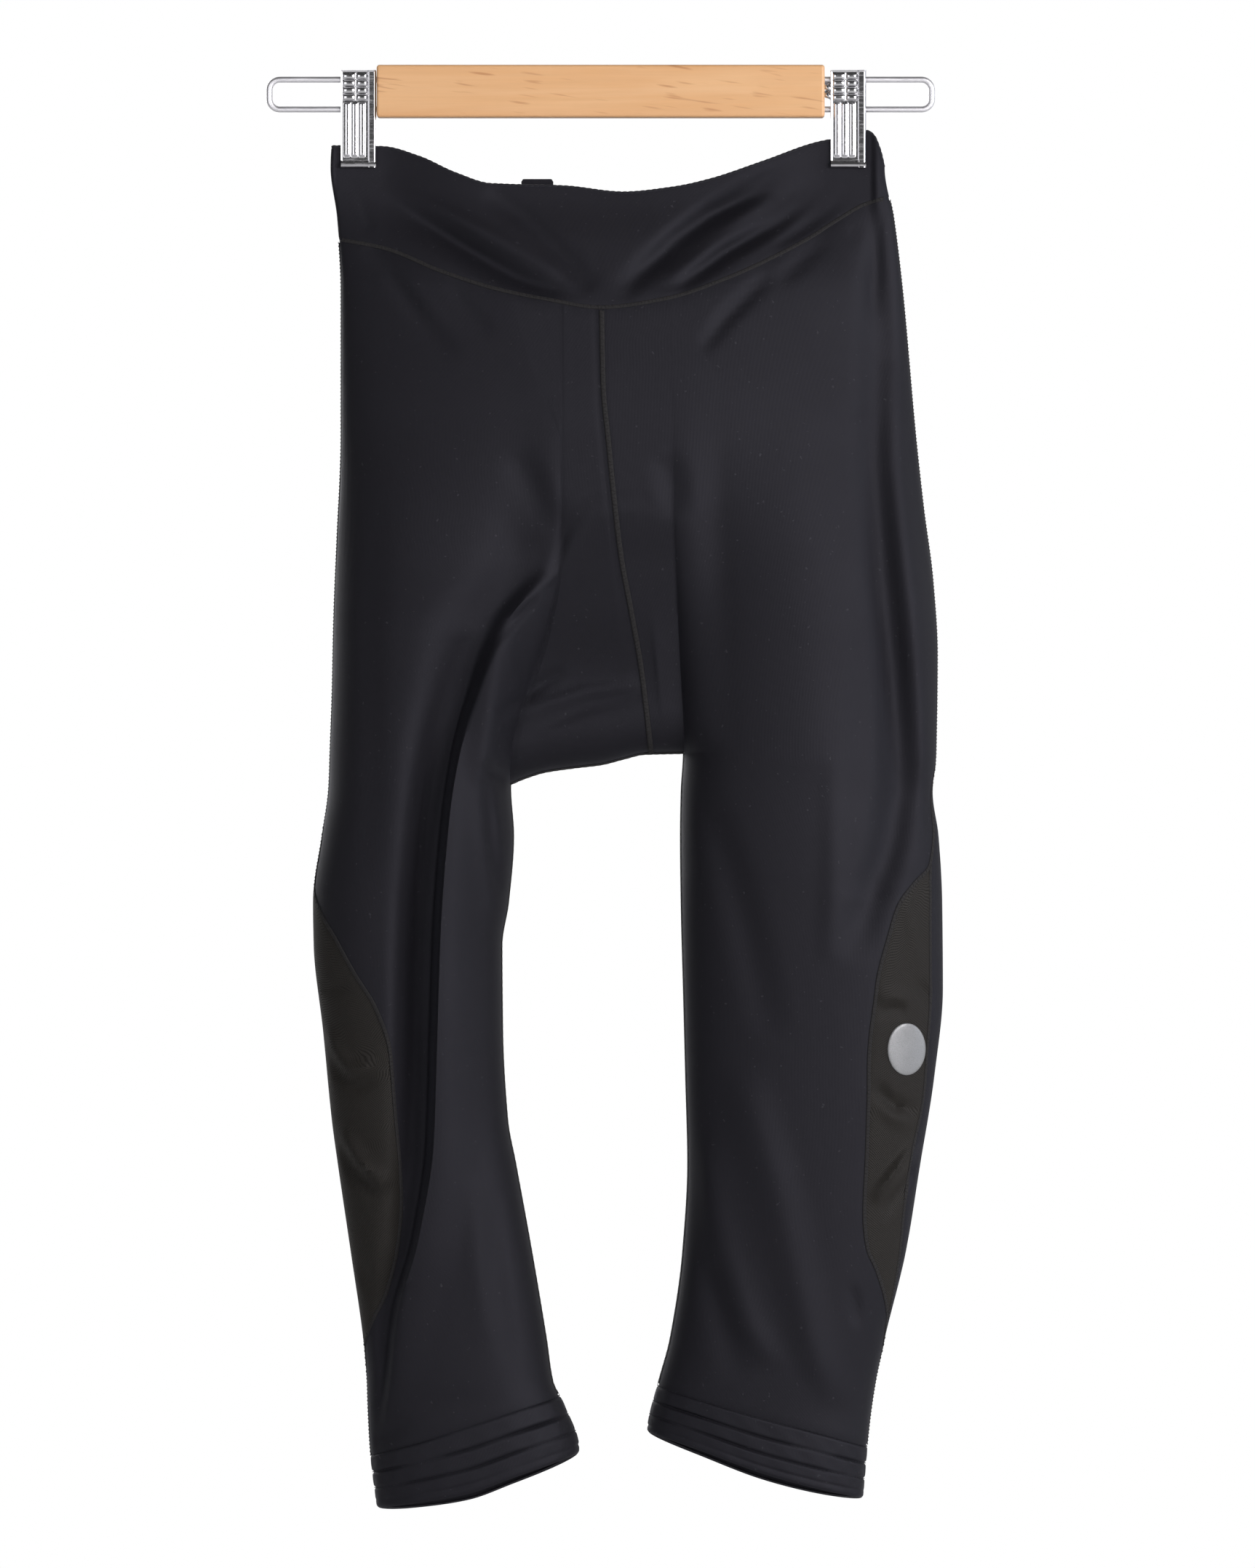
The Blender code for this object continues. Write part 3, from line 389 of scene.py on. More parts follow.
# Fine creases: strokes on the cloth as height, half width and the places they run through, x by z.
# A height above zero is a ridge and one below it a trough.
CREASES = {
    "front": {
        "waist_right_edge": (-1.7, 3.4, (-130, -70), (-100, -92), (-77, -107), (-44, -126), (-24, -133)),
        "waist_right_upper": (-2.2, 6, (-65, -73), (-44, -89), (-21, -112), (-4, -131)),
        "waist_right_crest": (1.3, 5, (-118, -70), (-88, -86), (-56, -104), (-24, -123)),
        "waist_left_long": (-2.4, 5, (123, -66), (91, -76), (63, -87), (43, -101), (22, -122), (12, -137)),
        "waist_left_crest": (1.3, 4.5, (115, -76), (90, -92), (68, -107), (38, -127)),
        "waist_left_edge": (-2.4, 4.2, (130, -71), (102, -93), (71, -109), (53, -123), (43, -131)),
        "waist_left_short": (-1.5, 3.6, (132, -78), (114, -96), (99, -106)),
        "clip_left_foot": (-1.1, 3.2, (145, -68), (130, -86), (114, -99)),
        "clip_right_foot": (-1.0, 3.4, (-146, -62), (-138, -78), (-132, -96)),
        "yoke_right_outer": (-2.1, 4.6, (-137, -106), (-121, -122), (-105, -145), (-85, -168)),
        "yoke_right_inner": (-1.1, 3.8, (-88, -128), (-75, -143), (-63, -154)),
        "yoke_right_crest": (0.9, 5, (-126, -110), (-107, -128), (-90, -150)),
        "yoke_left_inner": (-2.0, 4.0, (97, -122), (84, -135), (71, -148), (58, -166)),
        "yoke_left_outer": (-1.3, 4.2, (132, -99), (117, -112), (102, -127)),
        "yoke_left_tick": (-1.0, 3.2, (148, -89), (144, -104)),
        "hip_left_edge": (-1.8, 4.0, (159, -82), (158, -114), (157, -148)),
        "hip_left_roll": (3.2, 8, (168, -172), (168, -228), (174, -275), (180, -315), (185, -374), (187, -430)),
        "crotch_hollow": (-3.4, 22, (-48, -356), (-10, -350), (32, -346)),
        "thigh_left_slope": (-4.5, 26, (146, -200), (152, -270), (160, -340), (166, -410), (160, -480)),
        "thigh_crease_side": (-3.6, 8, (-76, -330), (-92, -380), (-100, -430), (-105, -480), (-107, -530), (-109, -580), (-111, -630), (-119, -680)),
        "centre_seam_side": (-0.4, 1.5, (-3, -106), (-3, -150), (-1, -200), (4, -250), (11, -300), (20, -350), (26, -396)),
        "thigh_top_right": (-2.2, 8, (-49, -224), (-38, -246), (-31, -268)),
        "thigh_top_left": (-1.8, 8, (36, -226), (42, -243), (43, -262)),
        "pad_arc": (-0.7, 2.4, (-31, -319), (-28, -294), (-21, -271), (-9, -256), (9, -251), (25, -252),
                    (35, -258)),
        "pad_crest": (0.4, 4.5, (-24, -318), (-21, -293), (-14, -275), (-3, -264), (9, -259), (24, -260)),
        "crotch_first": (-1.8, 2.6, (-37, -308), (-52, -324), (-59, -336)),
        "crotch_first_crest": (1.2, 2.8, (-34, -296), (-46, -312), (-56, -322)),
        "crotch_second": (-2.0, 3.6, (-21, -349), (-40, -361), (-59, -376)),
        "crotch_cross": (1.4, 3.4, (23, -357), (-8, -361), (-34, -370), (-59, -382)),
        "crotch_below": (-1.0, 4.0, (24, -364), (-6, -370), (-30, -380), (-50, -391)),
        "knot": (-2.6, 3.0, (-67, -403), (-60, -409), (-54, -415)),
        "knot_groove": (-2.4, 3.4, (-66, -408), (-64, -430), (-62, -452), (-59, -478)),
        "thigh_left_soft": (1.2, 6, (134, -397), (134, -455), (131, -517)),
        "thigh_left_outer": (-1.0, 6, (147, -300), (150, -360), (147, -430)),
        "thigh_right_soft": (-1.0, 7, (-129, -250), (-132, -330), (-131, -420), (-136, -470)),
        "shin_left_hollow": (-1.8, 9, (62, -690), (70, -722), (80, -758)),
        "shin_left_tick": (-1.5, 3, (146, -704), (147, -726)),
        "shin_right_crest": (1.0, 5, (-74, -640), (-72, -690), (-66, -735)),
        "shin_right_hollow": (-1.0, 5, (-62, -650), (-59, -700), (-52, -748)),
        "knee_right_upper": (-2.3, 2.4, (-162, -534), (-154, -533), (-145, -531)),
        "knee_right_first": (4.2, 3.6, (-160, -555), (-150, -573), (-143, -580), (-130, -576)),
        "knee_right_first_foot": (-2.9, 4.0, (-156, -565), (-149, -583), (-141, -589), (-128, -584)),
        "knee_right_second": (4.3, 3.6, (-150, -613), (-139, -631), (-124, -647)),
        "knee_right_second_foot": (-3.2, 3.8, (-150, -623), (-140, -641), (-126, -656)),
        "knee_right_tail": (-1.7, 4.0, (-138, -690), (-129, -712)),
        "knee_left_upper": (-2.3, 2.6, (160, -546), (168, -544), (176, -545)),
        "knee_left_upper_crest": (1.9, 3.0, (160, -539), (168, -537), (178, -539)),
        "knee_left_side": (-2.0, 3.4, (182, -528), (190, -541)),
        "knee_left_middle": (-3.0, 3.2, (158, -588), (167, -599), (182, -603)),
        "knee_left_middle_crest": (1.7, 3.4, (160, -597), (169, -607), (181, -611)),
        "knee_left_low": (4.3, 3.2, (182, -621), (171, -636), (157, -654)),
        "knee_left_low_foot": (-2.5, 3.4, (184, -632), (174, -646), (162, -663)),
        "knee_left_top": (1.0, 4.0, (176, -478), (180, -500), (182, -520)),
        "hem_right_pucker": (-1.5, 4.0, (-132, -797), (-122, -789), (-112, -783)),
    },
    "back": {
        "waist_right": (-2.0, 5, (-126, -62), (-98, -78), (-66, -93), (-34, -105)),
        "waist_right_low": (-1.5, 4, (-134, -72), (-112, -88), (-86, -100)),
        "waist_left": (-2.2, 5, (128, -62), (100, -76), (70, -90), (40, -104)),
        "waist_left_low": (-1.4, 4, (134, -70), (116, -84), (92, -96)),
        "yoke_right": (-1.8, 4.4, (-134, -108), (-116, -126), (-98, -150), (-84, -172)),
        "yoke_left": (-1.7, 4.4, (134, -96), (118, -114), (98, -138), (80, -160)),
        "seat_right": (-1.5, 8, (-28, -214), (-36, -248), (-44, -286), (-52, -330)),
        "seat_left": (-1.5, 8, (44, -212), (52, -250), (56, -292), (58, -336)),
        "pad_arc_back": (-0.8, 3, (-30, -300), (-26, -262), (-10, -243), (6, -239), (22, -243), (32, -262),
                         (34, -300)),
        "crotch_right": (-1.8, 4, (-6, -356), (-28, -366), (-48, -378)),
        "crotch_right_crest": (1.3, 4, (-4, -366), (-26, -376), (-46, -388)),
        "crotch_left": (-1.6, 4, (22, -352), (34, -366), (44, -380)),
        "thigh_right": (-1.4, 7, (-120, -330), (-116, -400), (-112, -470)),
        "thigh_left": (-1.4, 7, (150, -320), (146, -390), (138, -460)),
        "knee_right_first": (-2.4, 4.6, (-156, -548), (-130, -561), (-100, -566), (-76, -558)),
        "knee_right_crest": (1.7, 4.2, (-154, -560), (-128, -572), (-100, -577), (-78, -571)),
        "knee_right_second": (-1.9, 4.2, (-148, -588), (-122, -596), (-96, -597)),
        "knee_left_first": (-2.3, 4.6, (188, -545), (160, -558), (128, -562), (88, -553)),
        "knee_left_crest": (1.6, 4.2, (186, -557), (158, -570), (128, -574), (92, -566)),
        "knee_left_second": (-1.8, 4.2, (180, -590), (152, -599), (118, -600)),
        "calf_right": (-1.2, 6, (-110, -650), (-104, -700), (-92, -746)),
        "calf_left": (1.2, 6, (136, -640), (130, -700), (122, -752)),
    },
}


def read(source, column, at):
    """One column of a table at any place: a cubic through its rows that never overshoots them."""
    names = list(source)
    place, value = source[names[0]], source[column]
    at = np.clip(at, place[0], place[-1])
    gap = np.diff(place)
    rise = np.diff(value) / gap
    slope = np.zeros(len(place))
    product = rise[:-1] * rise[1:]
    total = np.where(product > 0, rise[:-1] + rise[1:], 1.0)
    slope[1:-1] = np.where(product > 0, 2 * product / total, 0.0)
    slope[0], slope[-1] = rise[0], rise[-1]
    k = np.clip(np.searchsorted(place, at) - 1, 0, len(gap) - 1)
    t = (at - place[k]) / gap[k]
    return (
        value[k] * (1 + 2 * t) * (1 - t) ** 2
        + slope[k] * gap[k] * t * (1 - t) ** 2
        + value[k + 1] * t * t * (3 - 2 * t)
        + slope[k + 1] * gap[k] * t * t * (t - 1)
    )


def smooth(share):
    """0 below 0, 1 above 1 and an even rise between."""
    share = np.clip(share, 0, 1)
    return share * share * (3 - 2 * share)


def pinch(x, z):
    """1 where a clip holds the waistband shut, falling to 0 round it."""
    held = np.zeros(np.broadcast(x, z).shape)
    below = smooth((z - PINCH_FOOT) / PINCH_SPREAD_DOWN + 1)
    for side, clip in CLIP_X.items():
        away = (x - clip) * OUTWARD[side]
        spread = np.where(away > 0, PINCH_SPREAD_OUT, PINCH_SPREAD_IN)
        held = np.maximum(held, below * (1 - smooth((abs(away) - PINCH_WIDTH) / spread)))
    return held


def side_of(x, z):
    """The sections' edges at these places: outer and inner edge of the leg on this side of the seat."""
    middle = (read(SECTIONS["right"], "inner", z) + read(SECTIONS["left"], "inner", z)) / 2
    on_left = x > middle
    edges = {}
    for name in ("outer", "inner"):
        edges[name] = np.where(on_left, read(SECTIONS["left"], name, z), read(SECTIONS["right"], name, z))
    return edges, on_left


def depth_squared(x, z, face):
    """Square of the cloth's distance from the mid-plane, before its folds."""
    edges, on_left = side_of(x, z)
    outer, inner = edges["outer"], edges["inner"]
    half = abs(inner - outer) / 2
    from_outer = abs(x - outer) * np.where((x - outer) * np.where(on_left, -1, 1) >= 0, 1, -1)
    into_leg = (x - inner) * np.where(on_left, 1, -1)
    across = abs(2 * x - outer - inner) / (2 * half)

    lobe = np.where(on_left, read(SECTIONS["left"], face, z), read(SECTIONS["right"], face, z))
    lobe = lobe**2 * np.where(into_leg > 0, 1 - np.minimum(across, LOBE_LIMIT) ** LEG_POWER, 0)

    low, high = read(SECTIONS["right"], "outer", z), read(SECTIONS["left"], "outer", z)
    spread = abs(2 * x - low - high) / (high - low)
    rise = np.clip((z - read(CROTCH, "z", x)) / CROTCH_ROUNDING, 0, 1)
    trunk = read(BODY, face, z) ** 2 * (1 - spread**BODY_POWER) * (1 - (1 - rise) ** 2)

    share = read(BODY, "share", z)
    roll = np.clip(from_outer / LOOP_RADIUS, -1, 1)
    roll = 1 - (1 - roll) ** 2
    open_form = trunk * (1 - share * smooth(into_leg / LOBE_BLEND)) + share * lobe + LOOP_RADIUS**2 * roll
    held = pinch(x, z)
    return open_form * (1 - held) + PINCH_HALF**2 * roll * held


def folds(x, z, face):
    """How far the folds move the cloth outward."""
    moved = np.zeros(np.broadcast(x, z).shape)
    for fold in STEP_FOLDS[face].values():
        top, foot = fold["z"][-1], fold["z"][0]
        active = (z < top) & (z > foot)
        drop, rise, step, outer, inner = (read(fold, name, z) for name in ("drop", "rise", "step", "outer", "inner"))
        past = x - read(fold, "x", z)
        valley = -drop * smooth(1 + past / outer)
        cliff = -drop + (drop + rise) * smooth(past / step)
        shoulder = rise * (1 - smooth((past - step) / inner))
        profile = np.where(past < 0, valley, np.where(past < step, cliff, shoulder))
        moved = moved + np.where(active, profile, 0)
    for fold in SOFT_FOLDS[face].values():
        top, foot = fold["z"][-1], fold["z"][0]
        active = (z < top) & (z > foot)
        past = (x - read(fold, "x", z)) / read(fold, "half", z)
        profile = read(fold, "height", z) * (1 - smooth(abs(past) / 2)) ** SOFT_POWER
        moved = moved + np.where(active, profile, 0)
    edges, _ = side_of(x, z)
    below_crotch = z < read(CROTCH, "z", edges["inner"]) + CROTCH_ROUNDING
    edge = np.abs(x - edges["outer"])
    edge = np.where(below_crotch, np.minimum(edge, np.abs(x - edges["inner"])), edge)
    return moved * smooth(edge / FOLD_FADE) * (1 - pinch(x, z))


def strokes(x, z, face):
    """How far the fine creases move the cloth outward. A stroke fades in and out along its length."""
    x, z = np.broadcast_arrays(x, z)
    moved = np.zeros(x.shape)
    deep = bpy.context.scene.tights.crease_depth
    for height, half, *route in CREASES[face].values():
        route = np.array(route, float)
        low, high = route.min(0) - 2 * half, route.max(0) + 2 * half
        near = (x > low[0]) & (x < high[0]) & (z > low[1]) & (z < high[1])
        if not near.any():
            continue
        spot = np.stack([x[near], z[near]], axis=-1)
        runs = np.linalg.norm(np.diff(route, axis=0), axis=1)
        ends = np.concatenate([[0], np.cumsum(runs)])
        best, along = np.full(len(spot), FAR), np.zeros(len(spot))
        for k, run in enumerate(runs):
            way = (route[k + 1] - route[k]) / run
            share = np.clip((spot - route[k]) @ way, 0, run)
            gap = np.linalg.norm(spot - route[k] - share[:, None] * way, axis=1)
            closer = gap < best
            best, along = np.where(closer, gap, best), np.where(closer, ends[k] + share, along)
        middle = np.maximum(np.sin(math.pi * along / ends[-1]), 0) ** STROKE_TAPER
        moved[near] += deep * height * middle * (1 - smooth(best / (2 * half))) ** SOFT_POWER
    return moved


def relief(x, z, face):
    """Main folds and fine creases together."""
    edges, _ = side_of(x, z)
    below_crotch = z < read(CROTCH, "z", edges["inner"]) + CROTCH_ROUNDING
    edge = np.abs(x - edges["outer"])
    edge = np.where(below_crotch, np.minimum(edge, np.abs(x - edges["inner"])), edge)
    return folds(x, z, face) + strokes(x, z, face) * smooth(edge / CREASE_FADE) * (1 - pinch(x, z))


def placed(x, z, face, low, high, floor):
    """Points on the cloth's outer face and the directions that face out. `low` and `high` are the
    outline's edges across and `floor` is the lowest height that the section has."""
    sign = FACE_SIGN[face]
    base = np.sqrt(np.maximum(depth_squared(x, z, face), 0))
    point = np.stack([x, -sign * (base + relief(x, z, face)), z], axis=-1)
    x, z = np.clip(x, low + NEAR, high - NEAR), np.maximum(z, floor + NEAR)
    slope = []
    for dx, dz in ((SLOPE_STEP, 0), (0, SLOPE_STEP)):
        square = depth_squared(x + dx, z + dz, face) - depth_squared(x - dx, z - dz, face)
        fold = relief(x + dx, z + dz, face) - relief(x - dx, z - dz, face)
        slope.append(-(square + 2 * base * fold) / (2 * SLOPE_STEP))
    normal = np.stack([slope[0], -sign * 2 * base, slope[1]], axis=-1)
    return point, normal / np.linalg.norm(normal, axis=-1, keepdims=True)


def turn_of(side, inset, z):
    """The place round the leg of a line that lies `inset` inside its outer edge: 0 is that edge, 1 the
    inner one by the front, -1 the inner one by the back."""
    width = abs(read(SECTIONS[side], "inner", z) - read(SECTIONS[side], "outer", z))
    return np.sign(inset) * np.arccos(1 - 2 * np.minimum(abs(inset) / width, 1)) / math.pi


def x_of(side, turn, z):
    """Distance across of a place round the leg. From 1 to 2 it runs on to the centre seam."""
    outer, inner = read(SECTIONS[side], "outer", z), read(SECTIONS[side], "inner", z)
    seam = np.where(turn >= 0, read(CENTRE_SEAM, "front", z), read(CENTRE_SEAM, "back", z))
    round_leg = outer + (inner - outer) * (1 - np.cos(math.pi * np.minimum(abs(turn), 1))) / 2
    return np.where(abs(turn) <= 1, round_leg, inner + (seam - inner) * (abs(turn) - 1))


def row_height(side, row, turn, x):
    """Height of a row of the leg's grid. The rows follow the yoke seam, the crotch and the hem seam."""
    corner = read(CROTCH, "z", read(SECTIONS[side], "inner", CROTCH_LEVEL[side]))
    top = np.where(turn >= 0, read(YOKE_SEAM, "front", x), read(YOKE_SEAM, "back", x))
    foot = np.where(abs(turn) > 1, read(CROTCH, "z", x), corner)
    share = 1 - (1 - np.minimum(row / ROWS_BODY, 1)) ** ROW_CROWDING
    down_leg = np.maximum(row - ROWS_BODY, 0) / ROWS_LEG
    return top + (foot - top) * share + (read(HEMS[side], "seam", x) - corner) * down_leg


def line_at(side, name):
    """A line down the leg, as a function of height that gives its turn."""
    if name in ("front", "back"):
        return lambda z: turn_of(side, read(SIDE_SEAMS[side], name, z), z)
    crease = STEP_FOLDS["front"]["thigh_crease"]

    def turn(z):
        place = read(crease, "x", z) + (read(crease, "step", z) if name == "ridge" else -VALLEY_SIDE)
        inset = abs(place - read(SECTIONS[side], "outer", z))
        return np.minimum(turn_of(side, inset, z), CREASE_LIMIT[name])

    return turn


def columns_between(lines, counts):
    """Columns spread evenly between neighbouring lines."""
    columns = []
    for k, count in enumerate(counts):
        for j in range(count):
            share = j / count
            columns.append(lambda z, a=lines[k], b=lines[k + 1], s=share: a(z) * (1 - s) + b(z) * s)
    columns.append(lines[-1])
    return columns


def grid_on_leg(side, columns, rows):
    """Points, outward directions and turns of a grid on one leg."""
    rows = np.array(rows, float)[:, None]
    height = np.full((len(rows), len(columns)), CROTCH_LEVEL[side])
    for _ in range(ROW_PASSES):
        turn = np.stack([column(height[:, j]) for j, column in enumerate(columns)], axis=1)
        x = x_of(side, turn, height)
        height = row_height(side, rows, turn, x)
    edges = read(SECTIONS[side], "outer", height), read(SECTIONS[side], "inner", height)
    in_leg = abs(turn) <= 1
    low, high = np.where(in_leg, np.minimum(*edges), -FAR), np.where(in_leg, np.maximum(*edges), FAR)
    floor = np.where(in_leg, -FAR, read(CROTCH, "z", x))
    return both_faces(x, height, turn, low, high, floor)


def both_faces(x, z, turn, low, high, floor):
    """The front's points where the turn is above zero and the back's below."""
    front, front_out = placed(x, z, "front", low, high, floor)
    back, back_out = placed(x, z, "back", low, high, floor)
    on_front = (turn >= 0)[..., None]
    return np.where(on_front, front, back), np.where(on_front, front_out, back_out)

def leg_grid(side, face):
    """A leg panel's grid with its half of the seat, and the mask of the places that the panel has."""
    sign = FACE_SIGN[face]
    counts = COLUMNS[side, face]
    lines = [line_at(side, face)]
    if len(counts) > 2:
        lines += [line_at(side, "valley"), line_at(side, "ridge")]
    lines += [lambda z: np.full(z.shape, 1.0 * sign), lambda z: np.full(z.shape, 2.0 * sign)]
    points, out = grid_on_leg(side, columns_between(lines, counts), range(ROWS_BODY + ROWS_LEG + 1))
    kept = np.ones(points.shape[:2], bool)
    kept[ROWS_BODY + 1:, sum(counts[:-1]) + 1:] = False
    return points, out, kept


def knee_grid(side):
    columns = columns_between([line_at(side, "back"), line_at(side, "front")], (COLUMNS_KNEE,))
    points, out = grid_on_leg(side, columns, range(ROWS_BODY + ROWS_LEG + 1))
    width = np.linalg.norm(points[:, -1] - points[:, 0], axis=1)
    first, *_, last = np.flatnonzero(width > KNEE_TIP)
    return points[first:last + 1], out[first:last + 1]


def waistband_grid(face):
    share = np.arange(COLUMNS_WAISTBAND + 1)[None, :] / COLUMNS_WAISTBAND
    down = np.arange(ROWS_WAISTBAND + 1)[:, None] / ROWS_WAISTBAND
    height = np.full((ROWS_WAISTBAND + 1, COLUMNS_WAISTBAND + 1), PINCH_FOOT)
    for _ in range(ROW_PASSES):
        low, high = read(SECTIONS["right"], "outer", height), read(SECTIONS["left"], "outer", height)
        x = low + (high - low) * (1 - np.cos(math.pi * share)) / 2
        height = read(WAIST_EDGE, face, x) * (1 - down) + read(YOKE_SEAM, face, x) * down
    return placed(x, height, face, low, high, -FAR)


def hem_grid(side, shares, count):
    """Rings round the foot of a leg, at shares of the way from the hem seam down to the edge."""
    turn = np.tile(np.arange(count + 1) / count * 2 - 1, (len(shares), 1))
    share = np.array(shares, float)[:, None]
    height = np.full(turn.shape, HEM_LEVEL)
    for _ in range(ROW_PASSES):
        x = x_of(side, turn, height)
        seam, edge = read(HEMS[side], "seam", x), read(HEMS[side], "edge", x)
        edge = edge - HEM_BACK_DROP * np.sin(math.pi * np.maximum(-turn, 0))
        height = seam + (edge - seam) * share
    edges = read(SECTIONS[side], "outer", height), read(SECTIONS[side], "inner", height)
    return both_faces(x, height, turn, np.minimum(*edges), np.maximum(*edges), -FAR)


def line_on_leg(side, line, high, low, step=2.0):
    """Places and outward directions along a line down a leg, between two heights."""
    z = np.arange(high, low, -step)
    turn = line(z)
    x = x_of(side, turn, z)
    edges = read(SECTIONS[side], "outer", z), read(SECTIONS[side], "inner", z)
    return both_faces(x, z, turn, np.minimum(*edges), np.maximum(*edges), np.full(z.shape, -FAR))


def line_on_face(face, x, z, floor=-FAR):
    return placed(x, z, face, np.full(x.shape, -FAR), np.full(x.shape, FAR), floor)


# From here on the forms become pieces, made in metres


def settled(piece, made_of, replaced=(), smooth_angle=50):
    """Gives a finished piece its material, its shading, its body and the CAD nodes that it stands for."""
    piece.data.materials.clear()
    piece.data.materials.append(MATERIALS[made_of])
    bpy.ops.object.select_all(action="DESELECT")
    bpy.context.view_layer.objects.active = piece
    piece.select_set(True)
    bpy.ops.object.shade_smooth_by_angle(angle=math.radians(smooth_angle))
    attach(piece, "root")
    if replaced:
        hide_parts(*replaced)
    return piece


def cloth_sheet(name, points, out, thickness, ring=False, kept=None):
    """A grid laid on the form with its thickness inward. Its UV map is in metres of cloth."""
    rows, columns = points.shape[:2]
    bpy.ops.object.select_all(action="DESELECT")
    bpy.ops.mesh.primitive_grid_add(x_subdivisions=columns - 1, y_subdivisions=rows - 1, size=1)
    sheet = bpy.context.object
    sheet.name = sheet.data.name = name
    laid = points[::-1] * MM
    sheet.data.vertices.foreach_set("co", laid.reshape(-1))
    across = np.cumsum(np.linalg.norm(np.diff(laid, axis=1, prepend=laid[:, :1]), axis=2), axis=1)
    across -= across[:, columns // 2, None]
    down = np.cumsum(np.linalg.norm(np.diff(laid, axis=0, prepend=laid[:1]), axis=2), axis=0)
    corner = np.zeros(len(sheet.data.loops), int)
    sheet.data.loops.foreach_get("vertex_index", corner)
    uv = np.stack([across.reshape(-1)[corner], down.reshape(-1)[corner]], axis=-1)
    sheet.data.uv_layers[0].data.foreach_set("uv", uv.reshape(-1))
    mesh = bmesh.new()
    mesh.from_mesh(sheet.data)
    if ring:
        bmesh.ops.remove_doubles(mesh, verts=mesh.verts[:], dist=1e-6)
    if kept is not None:
        gone = np.flatnonzero(~kept[::-1].reshape(-1))
        mesh.verts.ensure_lookup_table()
        bmesh.ops.delete(mesh, geom=[mesh.verts[i] for i in gone], context="VERTS")
    mesh.faces.ensure_lookup_table()
    middle = mesh.faces[(rows // 4) * (columns - 1) // 2 if kept is None else 0]
    mesh.faces.ensure_lookup_table()
    facing = np.array(out[::-1].reshape(-1, 3))
    spots = laid.reshape(-1, 3)
    centre = np.array(middle.calc_center_median())
    nearest = np.argmin(np.linalg.norm(spots - centre, axis=1))
    middle.normal_update()
    if np.dot(np.array(middle.normal), facing[nearest]) < 0:
        bmesh.ops.reverse_faces(mesh, faces=mesh.faces[:])
    mesh.to_mesh(sheet.data)
    mesh.free()
    wall = sheet.modifiers.new("cloth", "SOLIDIFY")
    wall.thickness, wall.offset = thickness, -1
    bpy.ops.object.modifier_apply(modifier=wall.name)
    return sheet


def rim_dipped(points, out, kept, depth=0.35):
    """Presses a panel's border in, as its sewing does."""
    spare = np.pad(kept, 1)
    inner = spare[:-2, 1:-1] & spare[2:, 1:-1] & spare[1:-1, :-2] & spare[1:-1, 2:] & spare[2:, 2:] & spare[2:, :-2]
    return points - out * depth * (~inner)[..., None]


def mesh_piece(name, vertices, faces):
    """A piece from rows of points, in millimetres, and its faces, turned outward."""
    data = bpy.data.meshes.new(name)
    data.from_pydata((np.asarray(vertices) * MM).tolist(), [], [tuple(face) for face in faces])
    mesh = bmesh.new()
    mesh.from_mesh(data)
    bmesh.ops.recalc_face_normals(mesh, faces=mesh.faces[:])
    mesh.to_mesh(data)
    mesh.free()
    piece = bpy.data.objects.new(name, data)
    bpy.context.scene.collection.objects.link(piece)
    return piece


def frames_along(centres, out, closed=False):
    """Sideways and outward directions along a route, square to its own direction."""
    if closed:
        way = np.roll(centres, -1, axis=0) - np.roll(centres, 1, axis=0)
    else:
        way = np.gradient(centres, axis=0)
    way = way / np.linalg.norm(way, axis=1, keepdims=True)
    side = np.cross(out, way)
    side = side / np.linalg.norm(side, axis=1, keepdims=True)
    return way, side, np.cross(way, side)


def swept(centres, out, profile, closed=False, swell=None):
    """Vertices and faces of a closed profile, given as sideways and outward distances, along a route."""
    _, side, up = frames_along(centres, out, closed)
    profile = np.array(profile, float)
    size = np.ones(len(centres)) if swell is None else swell
    rings = (centres[:, None] + side[:, None] * profile[None, :, :1] * size[:, None, None]
             + up[:, None] * profile[None, :, 1:] * size[:, None, None])
    count, around = len(centres), len(profile)
    faces = []
    for i in range(count if closed else count - 1):
        for k in range(around):
            a, b = i * around, (i + 1) % count * around
            faces.append((a + k, a + (k + 1) % around, b + (k + 1) % around, b + k))
    if not closed:
        faces += [tuple(range(around))[::-1], tuple((count - 1) * around + k for k in range(around))]
    return rings.reshape(-1, 3), faces


def gathered(parts):
    """Several runs of vertices and faces as one."""
    vertices, faces, base = [], [], 0
    for spots, rings in parts:
        vertices.append(spots)
        faces += [tuple(base + k for k in ring) for ring in rings]
        base += len(spots)
    return np.concatenate(vertices), faces


def even_steps(centres, out, spacing):
    """The same route with its places evenly spaced."""
    runs = np.linalg.norm(np.diff(centres, axis=0), axis=1)
    along = np.concatenate([[0], np.cumsum(runs)])
    at = np.linspace(0, along[-1], max(2, int(round(along[-1] / spacing)) + 1))
    pick = [np.stack([np.interp(at, along, source[:, k]) for k in range(3)], axis=-1) for source in (centres, out)]
    return pick[0], pick[1] / np.linalg.norm(pick[1], axis=1, keepdims=True)


def band_profile(width, height):
    """A flat sewn-down band: low at its edges, its feet just inside the cloth."""
    across = np.linspace(-1, 1, 9)
    top = [(width / 2 * s, height * (1 - abs(s) ** 6) + 0.02) for s in across]
    return top + [(width / 2, -0.3), (-width / 2, -0.3)]


